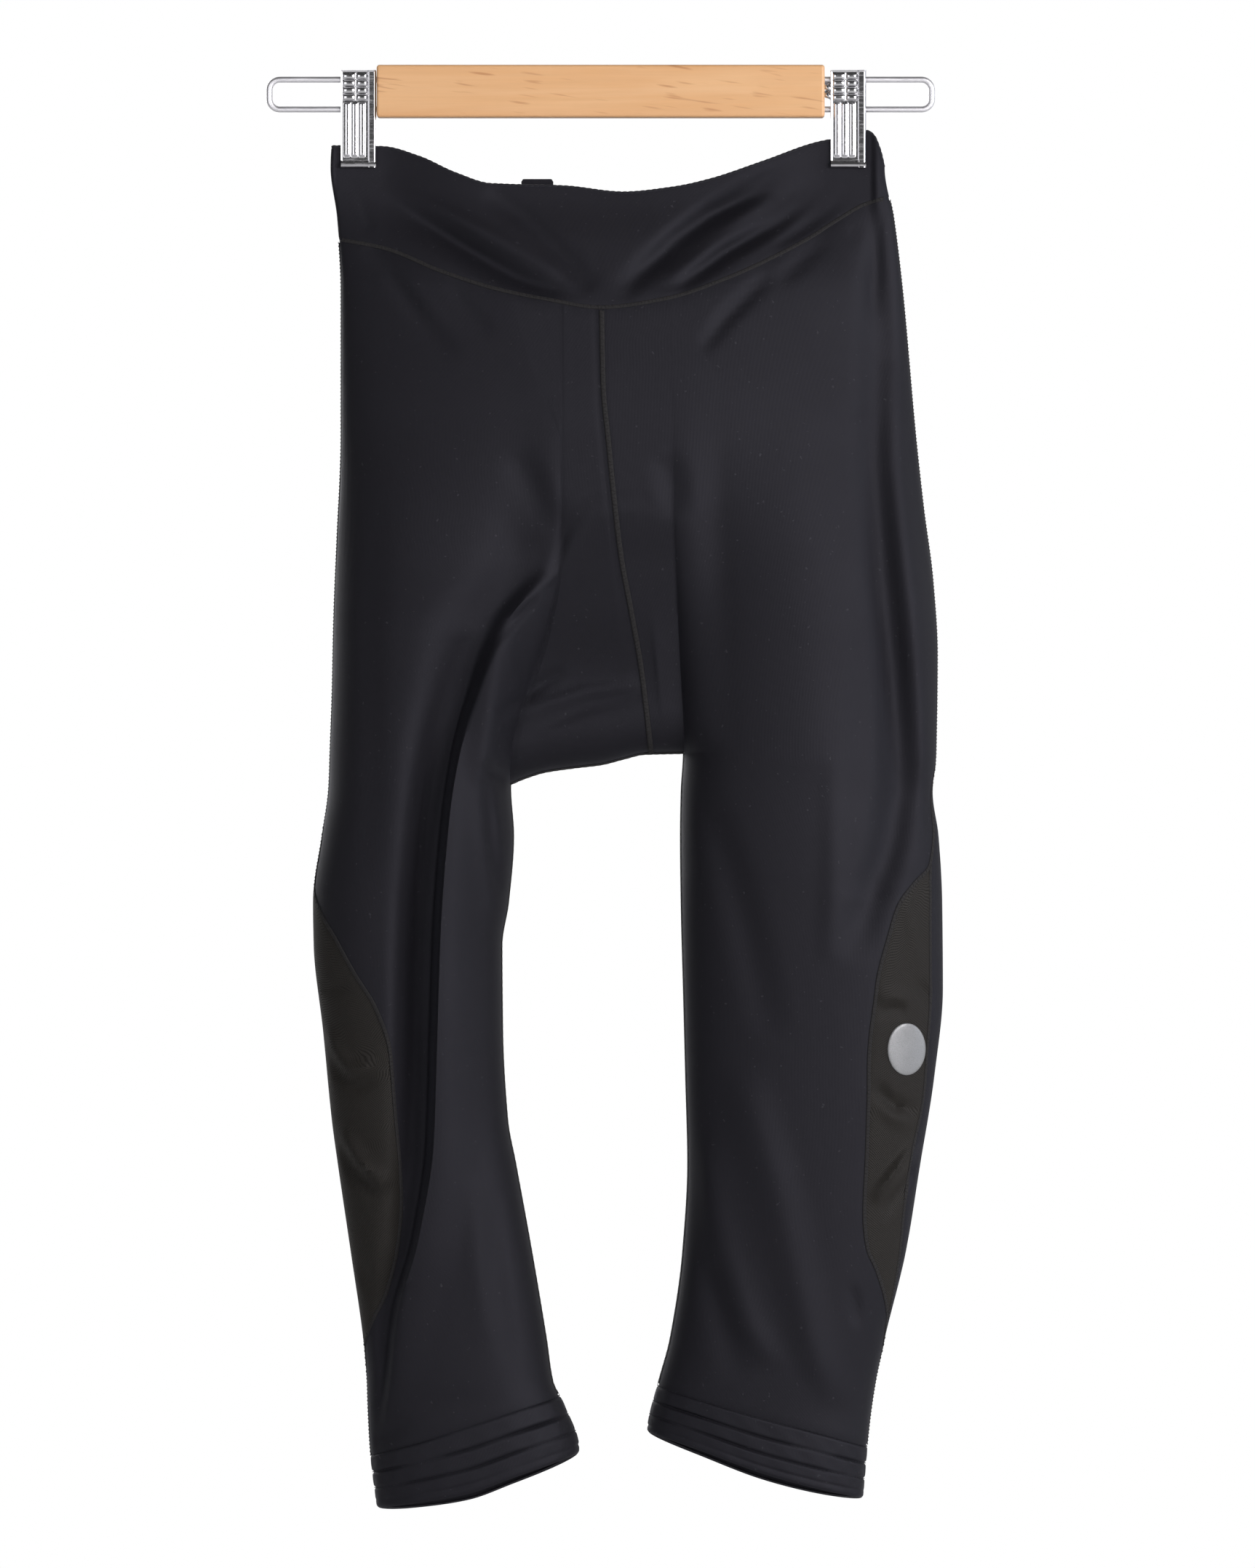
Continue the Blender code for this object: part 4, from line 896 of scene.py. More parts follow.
def threads(centres, out, length, thick, slant, offset=0.0, raised=0.0, swing=False):
    """Small stitches at each place of a route: `slant` is the angle from straight across it."""
    way, side, up = frames_along(centres, out)
    lean = np.full(len(centres), slant)
    if swing:
        lean[1::2] *= -1
    run = side * np.cos(lean)[:, None] + way * np.sin(lean)[:, None]
    cross = np.cross(up, run)
    vertices = []
    for along, lift in ((-0.5, -0.45), (-0.32, 0.5), (0.32, 0.5), (0.5, -0.45)):
        for left, rise in ((-0.5, 0), (0, 0.5), (0.5, 0), (0, -0.5)):
            vertices.append(centres + side * offset + run * length * along + cross * thick * left
                            + up * (raised + thick * (lift + rise)))
    stack = np.stack(vertices, axis=1)
    ring = [(4 * i + k, 4 * i + (k + 1) % 4, 4 * i + 4 + (k + 1) % 4, 4 * i + 4 + k) for i in range(3) for k in range(4)]
    ring += [(3, 2, 1, 0), (12, 13, 14, 15)]
    faces = [tuple(16 * n + k for k in face) for n in range(len(centres)) for face in ring]
    return stack.reshape(-1, 3), faces


# Materials


def put(tree, kind, inputs=None, **settings):
    """Adds a node with its settings, and fills its inputs with values or with other nodes' outputs."""
    node = tree.nodes.new("ShaderNode" + kind)
    for name, value in settings.items():
        setattr(node, name, value)
    for key, value in (inputs or {}).items():
        if isinstance(value, bpy.types.NodeSocket):
            tree.links.new(value, node.inputs[key])
        else:
            node.inputs[key].default_value = value
    return node


def figure(tree, operation, first, second=0.0, clamped=False):
    return put(tree, "Math", {0: first, 1: second}, operation=operation, use_clamp=clamped).outputs[0]


def effect(name, inputs, outputs):
    """An empty shader group with these named inputs and outputs."""
    tree = bpy.data.node_groups.new(name, "ShaderNodeTree")
    for title, kind, value in inputs:
        socket = tree.interface.new_socket(title, in_out="INPUT", socket_type="NodeSocket" + kind)
        if value is not None:
            socket.default_value = value
    for title, kind in outputs:
        tree.interface.new_socket(title, in_out="OUTPUT", socket_type="NodeSocket" + kind)
    return tree, tree.nodes.new("NodeGroupInput").outputs, tree.nodes.new("NodeGroupOutput").inputs


def make_knit():
    """Columns of knitted loops: `Wale` is their spacing in metres."""
    tree, given, made = effect("knit", [("Vector", "Vector", None), ("Wale", "Float", 0.0005)], [("Height", "Float")])
    place = put(tree, "SeparateXYZ", {0: given["Vector"]}).outputs
    across = figure(tree, "DIVIDE", place[0], given["Wale"])
    down = figure(tree, "DIVIDE", place[1], given["Wale"])
    wale = figure(tree, "ABSOLUTE", figure(tree, "SINE", figure(tree, "MULTIPLY", across, math.pi)))
    loop = figure(tree, "SINE", figure(tree, "ADD", figure(tree, "MULTIPLY", down, 2 * math.pi * 1.3),
                                       figure(tree, "MULTIPLY", wale, 2.2)))
    height = figure(tree, "MULTIPLY", wale, figure(tree, "ADD", figure(tree, "MULTIPLY", loop, 0.3), 0.7))
    tree.links.new(height, made["Height"])
    return tree


def make_holes():
    """Staggered rows of small holes: `Pitch` is their spacing in metres."""
    tree, given, made = effect("holes", [("Vector", "Vector", None), ("Pitch", "Float", 0.0014)], [("Hole", "Float")])
    place = put(tree, "SeparateXYZ", {0: given["Vector"]}).outputs
    turn = figure(tree, "DIVIDE", 2 * math.pi, given["Pitch"])
    waves = [figure(tree, "COSINE", figure(tree, "MULTIPLY", figure(tree, joint, place[0], place[1]), turn))
             for joint in ("ADD", "SUBTRACT")]
    both = figure(tree, "ADD", *waves)
    hole = put(tree, "MapRange", {0: both, 1: 0.2, 2: 1.3, 3: 0.0, 4: 1.0}, interpolation_type="SMOOTHSTEP")
    tree.links.new(hole.outputs[0], made["Hole"])
    return tree


def make_lint():
    """Sparse pale specks and slow unevenness, such as washed dark cloth has."""
    tree, given, made = effect("lint", [("Vector", "Vector", None), ("Speck", "Float", 420.0)],
                               [("Specks", "Float"), ("Drift", "Float")])
    fine = put(tree, "TexNoise", {"Vector": given["Vector"], "Scale": given["Speck"], "Detail": 1.0}).outputs[0]
    specks = put(tree, "MapRange", {0: fine, 1: 0.735, 2: 0.79, 3: 0.0, 4: 1.0}).outputs[0]
    slow = put(tree, "TexNoise", {"Vector": given["Vector"], "Scale": 9.0, "Detail": 3.0}).outputs[0]
    tree.links.new(specks, made["Specks"])
    tree.links.new(slow, made["Drift"])
    return tree


def make_scratches():
    """Fine rubbing on metal: long along X, and faint."""
    tree, given, made = effect("scratches", [("Vector", "Vector", None)], [("Mask", "Float")])
    drawn = put(tree, "Mapping", {"Vector": given["Vector"], "Scale": (120.0, 900.0, 900.0)}).outputs[0]
    rub = put(tree, "TexNoise", {"Vector": drawn, "Scale": 1.0, "Detail": 4.0}).outputs[0]
    tree.links.new(put(tree, "MapRange", {0: rub, 1: 0.45, 2: 0.75, 3: 0.0, 4: 1.0}).outputs[0], made["Mask"])
    return tree


def started(name, roughness, metallic=0.0, **others):
    """A new material with its shader's constant values, and its tree."""
    made = bpy.data.materials.new(name)
    made.use_nodes = True
    tree = made.node_tree
    shader = tree.nodes["Principled BSDF"]
    shader.inputs["Roughness"].default_value = roughness
    shader.inputs["Metallic"].default_value = metallic
    for title, value in others.items():
        shader.inputs[title.replace("_", " ")].default_value = value
    return made, tree, shader


def grouped(tree, group, inputs):
    node = tree.nodes.new("ShaderNodeGroup")
    node.node_tree = bpy.data.node_groups[group]
    for key, value in inputs.items():
        if isinstance(value, bpy.types.NodeSocket):
            tree.links.new(value, node.inputs[key])
        else:
            node.inputs[key].default_value = value
    return node.outputs


def mixed(tree, share, first, second):
    """Two colours mixed. Each is a colour or a socket."""
    node = put(tree, "Mix", data_type="RGBA")
    for socket, value in ((node.inputs[0], share), (node.inputs[6], first), (node.inputs[7], second)):
        if isinstance(value, bpy.types.NodeSocket):
            tree.links.new(value, socket)
        else:
            socket.default_value = value
    return node.outputs[2]


def bumped(tree, shader, height, distance, strength=1.0):
    bump = put(tree, "Bump", {"Height": height, "Distance": distance, "Strength": strength})
    tree.links.new(bump.outputs[0], shader.inputs["Normal"])


def toned(colour, factor):
    return tuple(min(1.0, part * factor) for part in colour[:3]) + (1.0,)


def cloth_material(name, colour, wale, roughness, sheen, lint=0.08):
    """Stretch cloth: knitted columns, a soft sheen, slow unevenness and a little lint."""
    made, tree, shader = started(name, roughness, Sheen_Weight=sheen, Sheen_Roughness=0.45,
                                 Sheen_Tint=(0.62, 0.64, 0.80, 1.0), Specular_IOR_Level=0.26,
                                 Specular_Tint=(0.86, 0.86, 1.0, 1.0))
    flat = put(tree, "TexCoord").outputs
    knit = grouped(tree, "knit", {"Vector": flat["UV"], "Wale": wale})[0]
    lints = grouped(tree, "lint", {"Vector": flat["Object"]})
    drift = put(tree, "MapRange", {0: lints[1], 1: 0.3, 2: 0.7, 3: 0.0, 4: 1.0}).outputs[0]
    base = mixed(tree, drift, toned(colour, 0.82), toned(colour, 1.18))
    base = mixed(tree, figure(tree, "MULTIPLY", knit, 0.45), toned(colour, 0.6), base)
    base = mixed(tree, figure(tree, "MULTIPLY", lints[0], lint), base, (0.20, 0.20, 0.22, 1.0))
    tree.links.new(base, shader.inputs["Base Color"])
    rough = put(tree, "MapRange", {0: lints[1], 1: 0.3, 2: 0.7, 3: roughness - 0.04, 4: roughness + 0.05})
    tree.links.new(rough.outputs[0], shader.inputs["Roughness"])
    bumped(tree, shader, knit, 0.00006)
    return made


def knee_material(name, colour):
    """Matt mesh cloth with staggered holes."""
    made, tree, shader = started(name, 0.66, Sheen_Weight=0.03, Sheen_Tint=(0.8, 0.7, 0.6, 1.0),
                                 Specular_IOR_Level=0.24)
    flat = put(tree, "TexCoord").outputs
    hole = grouped(tree, "holes", {"Vector": flat["UV"]})[0]
    lints = grouped(tree, "lint", {"Vector": flat["Object"]})
    base = mixed(tree, lints[1], toned(colour, 0.75), toned(colour, 1.3))
    base = mixed(tree, hole, base, toned(colour, 0.25))
    tree.links.new(base, shader.inputs["Base Color"])
    rough = put(tree, "MapRange", {0: hole, 1: 0.0, 2: 1.0, 3: 0.60, 4: 0.95})
    tree.links.new(rough.outputs[0], shader.inputs["Roughness"])
    bumped(tree, shader, figure(tree, "SUBTRACT", 1.0, hole), 0.00018)
    return made


def thread_material(name, colour, roughness=0.72):
    """Twisted sewing thread."""
    made, tree, shader = started(name, roughness, Sheen_Weight=0.03, Specular_IOR_Level=0.26)
    place = put(tree, "TexCoord").outputs["Object"]
    twist = put(tree, "TexNoise", {"Vector": place, "Scale": 1800.0, "Detail": 2.0}).outputs[0]
    tree.links.new(mixed(tree, twist, toned(colour, 0.6), toned(colour, 1.5)), shader.inputs["Base Color"])
    bumped(tree, shader, twist, 0.00008)
    return made


def film_material(name, colour):
    """Reflective film: a fine layer of glass beads over grey."""
    made, tree, shader = started(name, 0.34, Coat_Weight=0.3, Coat_Roughness=0.2)
    place = put(tree, "TexCoord").outputs["Object"]
    beads = put(tree, "TexVoronoi", {"Vector": place, "Scale": 2600.0}).outputs["Distance"]
    cloudy = put(tree, "TexNoise", {"Vector": place, "Scale": 120.0, "Detail": 3.0}).outputs[0]
    base = mixed(tree, cloudy, toned(colour, 0.85), toned(colour, 1.1))
    tree.links.new(mixed(tree, beads, base, toned(colour, 0.6)), shader.inputs["Base Color"])
    shine = put(tree, "MapRange", {0: cloudy, 1: 0.3, 2: 0.7, 3: 0.28, 4: 0.42})
    tree.links.new(shine.outputs[0], shader.inputs["Roughness"])
    tree.links.new(put(tree, "MapRange", {0: beads, 1: 0.0, 2: 1.0, 3: 0.45, 4: 0.2}).outputs[0],
                   shader.inputs["Metallic"])
    bumped(tree, shader, beads, 0.00005)
    return made


def wood_material(name, colour):
    """Pale oiled beech: long grain, short dark flecks, and painted shade that darkens the bar's rounded lower edge."""
    made, tree, shader = started(name, 0.42, Coat_Weight=0.12, Coat_Roughness=0.3)
    place = put(tree, "TexCoord").outputs["Object"]
    long = put(tree, "Mapping", {"Vector": place, "Scale": (5.0, 60.0, 75.0)}).outputs[0]
    warp = put(tree, "TexNoise", {"Vector": long, "Scale": 1.0, "Detail": 5.0, "Distortion": 0.7}).outputs[0]
    fine = put(tree, "Mapping", {"Vector": place, "Scale": (30.0, 900.0, 900.0)}).outputs[0]
    pores = put(tree, "TexNoise", {"Vector": fine, "Scale": 1.0, "Detail": 3.0}).outputs[0]
    slanted = put(tree, "Mapping", {"Vector": place, "Rotation": (0.0, -0.14, 0.0)}).outputs[0]
    flecked = put(tree, "Mapping", {"Vector": slanted, "Scale": (36.0, 260.0, 420.0)}).outputs[0]
    flecks = put(tree, "TexNoise", {"Vector": flecked, "Scale": 1.0, "Detail": 1.0}).outputs[0]
    flecks = put(tree, "MapRange", {0: flecks, 1: 0.63, 2: 0.74, 3: 0.0, 4: 0.7}).outputs[0]
    bands = put(tree, "MapRange", {0: warp, 1: 0.35, 2: 0.68, 3: 0.0, 4: 1.0}).outputs[0]
    base = mixed(tree, bands, toned(colour, 1.07), toned((colour[0] * 0.96, colour[1] * 0.86, colour[2] * 0.74), 1.0))
    base = mixed(tree, figure(tree, "MULTIPLY", pores, 0.3), base, toned(colour, 0.72))
    base = mixed(tree, flecks, base, toned((colour[0] * 0.62, colour[1] * 0.46, colour[2] * 0.36), 1.0))
    # Painted shade: the colour grows darker by height towards the bar's rounded lower edge, standing in for the light
    # falling off there.
    depth = put(tree, "SeparateXYZ", {0: place}).outputs[2]
    foot = put(tree, "MapRange", {0: depth, 1: -0.0235, 2: -0.030, 3: 0.0, 4: 0.35}, interpolation_type="SMOOTHSTEP")
    base = mixed(tree, foot.outputs[0], base, toned((colour[0] * 0.85, colour[1] * 0.68, colour[2] * 0.55), 1.0))
    tree.links.new(base, shader.inputs["Base Color"])
    rough = put(tree, "MapRange", {0: pores, 1: 0.3, 2: 0.7, 3: 0.36, 4: 0.52})
    tree.links.new(rough.outputs[0], shader.inputs["Roughness"])
    bumped(tree, shader, pores, 0.00006)
    return made


def chrome_material(name, colour, low=0.16, high=0.32):
    """Nickel-bright plating with fine rubbing, between two values of roughness."""
    made, tree, shader = started(name, low, metallic=1.0)
    place = put(tree, "TexCoord").outputs["Object"]
    rub = grouped(tree, "scratches", {"Vector": place})[0]
    tree.links.new(mixed(tree, rub, toned(colour, 1.0), toned(colour, 0.9)), shader.inputs["Base Color"])
    rough = put(tree, "MapRange", {0: rub, 1: 0.0, 2: 1.0, 3: low, 4: high})
    tree.links.new(rough.outputs[0], shader.inputs["Roughness"])
    bumped(tree, shader, rub, 0.000012)
    return made


MATERIALS = {}


def make_materials():
    chosen = bpy.context.scene.tights
    for maker in (make_knit, make_holes, make_lint, make_scratches):
        maker()
    MATERIALS.update(
        cloth=cloth_material("satin knit", chosen.cloth_colour, 0.00055, 0.56, 0.05),
        yoke=cloth_material("yoke knit", chosen.cloth_colour, 0.0005, 0.58, 0.04),
        mesh=knee_material("knee mesh", chosen.knee_colour),
        lining=cloth_material("pad lining", chosen.pad_colour, 0.0009, 0.8, 0.2, lint=0.1),
        woven=cloth_material("woven tab", chosen.cloth_colour, 0.0004, 0.5, 0.1, lint=0.0),
        thread=thread_material("dark thread", chosen.thread_colour),
        seam_thread=thread_material("seam thread", chosen.seam_colour),
        film=film_material("reflective film", chosen.film_colour),
        wood=wood_material("oiled beech", chosen.wood_colour),
        chrome=chrome_material("bright plating", chosen.metal_colour),
        wire=chrome_material("pale wire", toned(chosen.metal_colour, 1.4), 0.42, 0.55),
    )


# The pieces


class TIGHTS_OT_legs(bpy.types.Operator):
    """Builds the fronts and backs of both legs with the seat"""

    bl_idname = "tights.legs"
    bl_label = "Legs and seat"

    def execute(self, context):
        for face in FACE_SIGN:
            for side in OUTWARD:
                points, out, kept = leg_grid(side, face)
                points = rim_dipped(points, out, kept)
                name = f"leg_{face}_{side}"
                sheet = cloth_sheet(f"{name}_cloth", points, out, context.scene.tights.cloth_thickness, kept=kept)
                settled(sheet, "cloth", (name,))
        return {"FINISHED"}


class TIGHTS_OT_waistband(bpy.types.Operator):
    """Builds the waistband's front and back, held shut in the clips, and its scalloped edge"""

    bl_idname = "tights.waistband"
    bl_label = "Waistband"

    def execute(self, context):
        edges = []
        for face in FACE_SIGN:
            points, out = waistband_grid(face)
            edges.append((points[0], out[0]))
            points = rim_dipped(points, out, np.ones(points.shape[:2], bool), 0.25)
            name = f"waistband_{face}"
            sheet = cloth_sheet(f"{name}_cloth", points, out, WAISTBAND_CLOTH * MM)
            settled(sheet, "yoke", (name,))
        centres = np.concatenate([edges[0][0], edges[1][0][-2:0:-1]])
        out = np.concatenate([edges[0][1], edges[1][1][-2:0:-1]])
        centres, out = even_steps(centres - out * WAISTBAND_CLOTH / 2, out, EDGE_SCALLOP / 6)
        swell = 1 + 0.3 * np.abs(np.sin(np.arange(len(centres)) * math.pi / 6))
        around = [(EDGE_ROLL * math.cos(a), EDGE_ROLL * math.sin(a)) for a in np.arange(8) * math.pi / 4]
        edge = mesh_piece("waist_edge_roll", *swept(centres[:-1], out[:-1], around, closed=True, swell=swell[:-1]))
        settled(edge, "thread")
        return {"FINISHED"}


class TIGHTS_OT_knees(bpy.types.Operator):
    """Builds the mesh panels let in beside the knees"""

    bl_idname = "tights.knees"
    bl_label = "Knee panels"

    def execute(self, context):
        for side in OUTWARD:
            points, out = knee_grid(side)
            points = rim_dipped(points, out, np.ones(points.shape[:2], bool))
            name = f"knee_panel_{side}"
            sheet = cloth_sheet(f"{name}_cloth", points, out, context.scene.tights.cloth_thickness)
            settled(sheet, "mesh", (name,))
        return {"FINISHED"}


class TIGHTS_OT_hems(bpy.types.Operator):
    """Builds the turned-up hems with their rows of sewing pulled into the cloth"""

    bl_idname = "tights.hems"
    bl_label = "Hems"

    def execute(self, context):
        chosen = context.scene.tights
        for side in OUTWARD:
            shares = np.arange(ROWS_HEM + 1) / ROWS_HEM
            points, out = hem_grid(side, shares, COLUMNS_HEM)
            down, turn = shares[:, None], np.arange(COLUMNS_HEM + 1)[None, :] / COLUMNS_HEM * 2 - 1
            pressed = np.zeros(points.shape[:2])
            for line, depth in HEM_ROWS:
                uneven = 1 + 0.45 * np.sin(9 * turn + 5 * line) + 0.3 * np.sin(23 * turn + 11 * line)
                pressed += depth * np.maximum(uneven, 0.2) * np.exp(-((down - line) / HEM_ROW_WIDTH) ** 2)
            pucker = 0.16 * np.sin(turn * 61 + 3 * down) * np.sin(down * math.pi * 3) ** 2
            lifted = chosen.hem_proud / MM * smooth(down / 0.03)
            points = points + out * (lifted - pressed + pucker - 0.8 * smooth((down - 0.965) / 0.035))[..., None]
            points, out = (np.concatenate([grid, grid[:, :1]], axis=1) for grid in (points, out))
            name = f"hem_{side}"
            sheet = cloth_sheet(f"{name}_cloth", points, out, HEM_CLOTH * MM, ring=True)
            settled(sheet, "cloth", (name,))
        return {"FINISHED"}


def midway(front, back):
    """A route between two others, for a seam that joins the front to the back at an edge."""
    centres, out = (front[0] + back[0]) / 2, front[1] + back[1]
    return centres, out / np.linalg.norm(out, axis=1, keepdims=True)


def seam_routes():
    """Every seam's route over the cloth: name, places, outward directions, band width and height."""
    routes = []
    for face in FACE_SIGN:
        x = np.arange(-149.0, 165.0, 2.0)
        routes.append(("yoke", *line_on_face(face, x, read(YOKE_SEAM, face, x)), 2.2, 0.3))
        top = float(read(YOKE_SEAM, face, 0.0)) - 2
        z = np.arange(top, -404.0, -2.0)
        x = read(CENTRE_SEAM, face, z)
        z = np.maximum(z, read(CROTCH, "z", x) + 0.5)
        routes.append(("centre", *line_on_face(face, x, z, read(CROTCH, "z", x)), 3.0, 0.7))
    corners = [float(read(SECTIONS[side], "inner", CROTCH_LEVEL[side])) for side in OUTWARD]
    x = np.linspace(*corners, 52)
    z = read(CROTCH, "z", x)
    routes.append(("crotch", *midway(*(line_on_face(face, x, z, z) for face in FACE_SIGN)), JOIN_WIDTH, 0.45))
    for side in OUTWARD:
        top = float(read(YOKE_SEAM, "front", read(SECTIONS[side], "outer", -90.0))) - 2
        foot = float(read(HEMS[side], "seam", read(SECTIONS[side], "outer", -790.0)))
        routes.append(("side", *line_on_leg(side, line_at(side, "front"), top, foot), 2.2, 0.3))
        knee = SIDE_SEAMS[side]["z"]
        routes.append(("knee", *line_on_leg(side, line_at(side, "back"), knee[-3], knee[2]), 2.2, 0.3))
        inner = float(read(HEMS[side], "seam", read(SECTIONS[side], "inner", -770.0)))
        edges = [line_on_leg(side, lambda z, end=end: np.full(z.shape, end), CROTCH_LEVEL[side], inner)
                 for end in (1.0, -1.0)]
        routes.append(("inseam", *midway(*edges), JOIN_WIDTH, 0.35))
    return routes


class TIGHTS_OT_seams(bpy.types.Operator):
    """Lays the flat seams and their stitches over the joins of the cloth, and sews the hems"""

    bl_idname = "tights.seams"
    bl_label = "Seams and stitching"

    def execute(self, context):
        pitch = context.scene.tights.stitch_pitch / MM
        bands, sewing = [], []
        for name, points, out, width, height in seam_routes():
            centres, up = even_steps(points, out, 2.2)
            bands.append(swept(centres, up, band_profile(width, height)))
            centres, up = even_steps(points, out, pitch)
            sewing.append(threads(centres, up, width * 1.02, SEAM_THREAD, math.radians(24), raised=height, swing=True))
        settled(mesh_piece("seam_bands", *gathered(bands)), "seam_thread")
        settled(mesh_piece("seam_stitches", *gathered(sewing)), "seam_thread")
        rows = []
        for side in OUTWARD:
            for line, _ in HEM_ROWS[:3]:
                points, out = hem_grid(side, (line,), COLUMNS_HEM)
                centres, up = even_steps(points[0], out[0], HEM_STITCH)
                rows.append(threads(centres, up, HEM_STITCH * 0.8, HEM_THREAD, math.pi / 2, raised=0.1))
        settled(mesh_piece("hem_stitches", *gathered(rows)), "thread")
        return {"FINISHED"}


class TIGHTS_OT_pad(bpy.types.Operator):
    """Builds the seat pad with its rounded rim and pressed channels"""

    bl_idname = "tights.pad"
    bl_label = "Seat pad"

    def execute(self, context):
        points, out, place = [], [], []
        across = np.linspace(0, 1, COLUMNS_PAD + 1)
        for face, steps in (("front", range(ROWS_PAD, 0, -1)), ("back", range(ROWS_PAD + 1))):
            for step in steps:
                share = (step / ROWS_PAD) ** PAD_CROWDING
                height = np.full(across.shape, CROTCH_LEVEL["left"])
                for _ in range(ROW_PASSES):
                    low, high = read(PAD[face], "left", height), read(PAD[face], "right", height)
                    x = low + (high - low) * across
                    foot = read(CROTCH, "z", x)
                    height = foot + (PAD_TOP[face] - foot) * share
                point, direction = placed(x, height, face, -FAR, FAR, foot)
                points.append(point)
                out.append(direction)
                place.append(share)
        points, out, place = np.array(points), np.array(out), np.array(place)[:, None]
        rim = np.minimum(np.minimum(across, 1 - across)[None, :] / 0.16, (1 - place) / 0.10)
        crown = np.sqrt(np.clip(1 - (1 - np.clip(rim, 0, 1)) ** 2, 0, 1))
        channel = np.maximum(np.exp(-(((across - 0.33) / 0.03) ** 2)), np.exp(-(((across - 0.67) / 0.03) ** 2)))
        thick = PAD_EDGE + (PAD_CLOTH - PAD_EDGE) * crown * (1 - 0.55 * channel[None, :] * (place < 0.7))
        near = points - out * (LEG_CLOTH + PAD_GAP)
        far = near - out * thick[..., None]
        rows, columns = near.shape[:2]
        count = rows * columns
        faces = []
        for i in range(rows - 1):
            for j in range(columns - 1):
                ring = (i * columns + j, i * columns + j + 1, (i + 1) * columns + j + 1, (i + 1) * columns + j)
                faces += [ring, tuple(count + k for k in reversed(ring))]
        border = ([j for j in range(columns)] + [i * columns + columns - 1 for i in range(1, rows)]
                  + [(rows - 1) * columns + j for j in range(columns - 2, -1, -1)]
                  + [i * columns for i in range(rows - 2, 0, -1)])
        for a, b in zip(border, border[1:] + border[:1]):
            faces.append((b, a, count + a, count + b))
        pad = mesh_piece("chamois_pad_cushion", np.concatenate([near.reshape(-1, 3), far.reshape(-1, 3)]), faces)
        settled(pad, "lining", ("chamois_pad",), 60)
        return {"FINISHED"}


class TIGHTS_OT_tab(bpy.types.Operator):
    """Builds the bare woven tab inside the back of the waistband"""

    bl_idname = "tights.tab"
    bl_label = "Waist tab"

    def execute(self, context):
        across, down = np.meshgrid(np.linspace(-1, 1, 21), np.linspace(0, 1, 19))
        x = TAB_X + TAB_WIDTH / 2 * across
        corner = 1 - (1 - np.clip((1 - np.abs(across)) / 0.16, 0, 1)) ** 2
        height = TAB_TOP + (TAB_FOOT - TAB_TOP) * down - 1.6 * (1 - np.sqrt(corner)) * (1 - down)
        point, out = line_on_face("back", x, height)
        near = point - out * (WAISTBAND_CLOTH + 0.3)
        near = near + out * (0.25 * np.sin(across * 2.2 + down * 2))[..., None] * (1 - down[..., None])
        sheet = cloth_sheet("waist_tab_cloth", near, out, TAB_CLOTH * MM)
        settled(sheet, "woven", ("waist_tab",))
        return {"FINISHED"}


class TIGHTS_OT_badge(bpy.types.Operator):
    """Builds the plain oval of reflective film on the left knee panel"""

    bl_idname = "tights.badge"
    bl_label = "Knee badge"

    def execute(self, context):
        around = np.arange(BADGE_SIDES) / BADGE_SIDES * 2 * math.pi
        reaches = (0.0, 0.25, 0.5, 0.72, 0.86, 0.94, 0.985, 1.0)
        rises = (0.62, 0.61, 0.60, 0.57, 0.54, 0.46, 0.30, 0.02)
        vertices, faces, rings = [], [], []
        for reach, rise in list(zip(reaches, rises)) + [(1.0, -0.5), (0.5, -0.5), (0.0, -0.5)]:
            count = 1 if reach == 0 else BADGE_SIDES
            x = BADGE_X + BADGE_HALF_WIDTH * reach * np.cos(around[:count])
            z = BADGE_Z + BADGE_HALF_HEIGHT * reach * np.sin(around[:count])
            point, out = line_on_face("front", x, z)
            rings.append(range(len(vertices), len(vertices) + count))
            vertices += list(point + out * (BADGE_GAP + rise))
        for inner, outer in zip(rings, rings[1:]):
            for k in range(BADGE_SIDES):
                n = (k + 1) % BADGE_SIDES
                if len(inner) == 1:
                    faces.append((inner[0], outer[k], outer[n]))
                elif len(outer) == 1:
                    faces.append((inner[n], inner[k], outer[0]))
                else:
                    faces.append((inner[k], outer[k], outer[n], inner[n]))
        settled(mesh_piece("knee_badge_film", vertices, faces), "film", ("knee_badge",), 60)
        return {"FINISHED"}


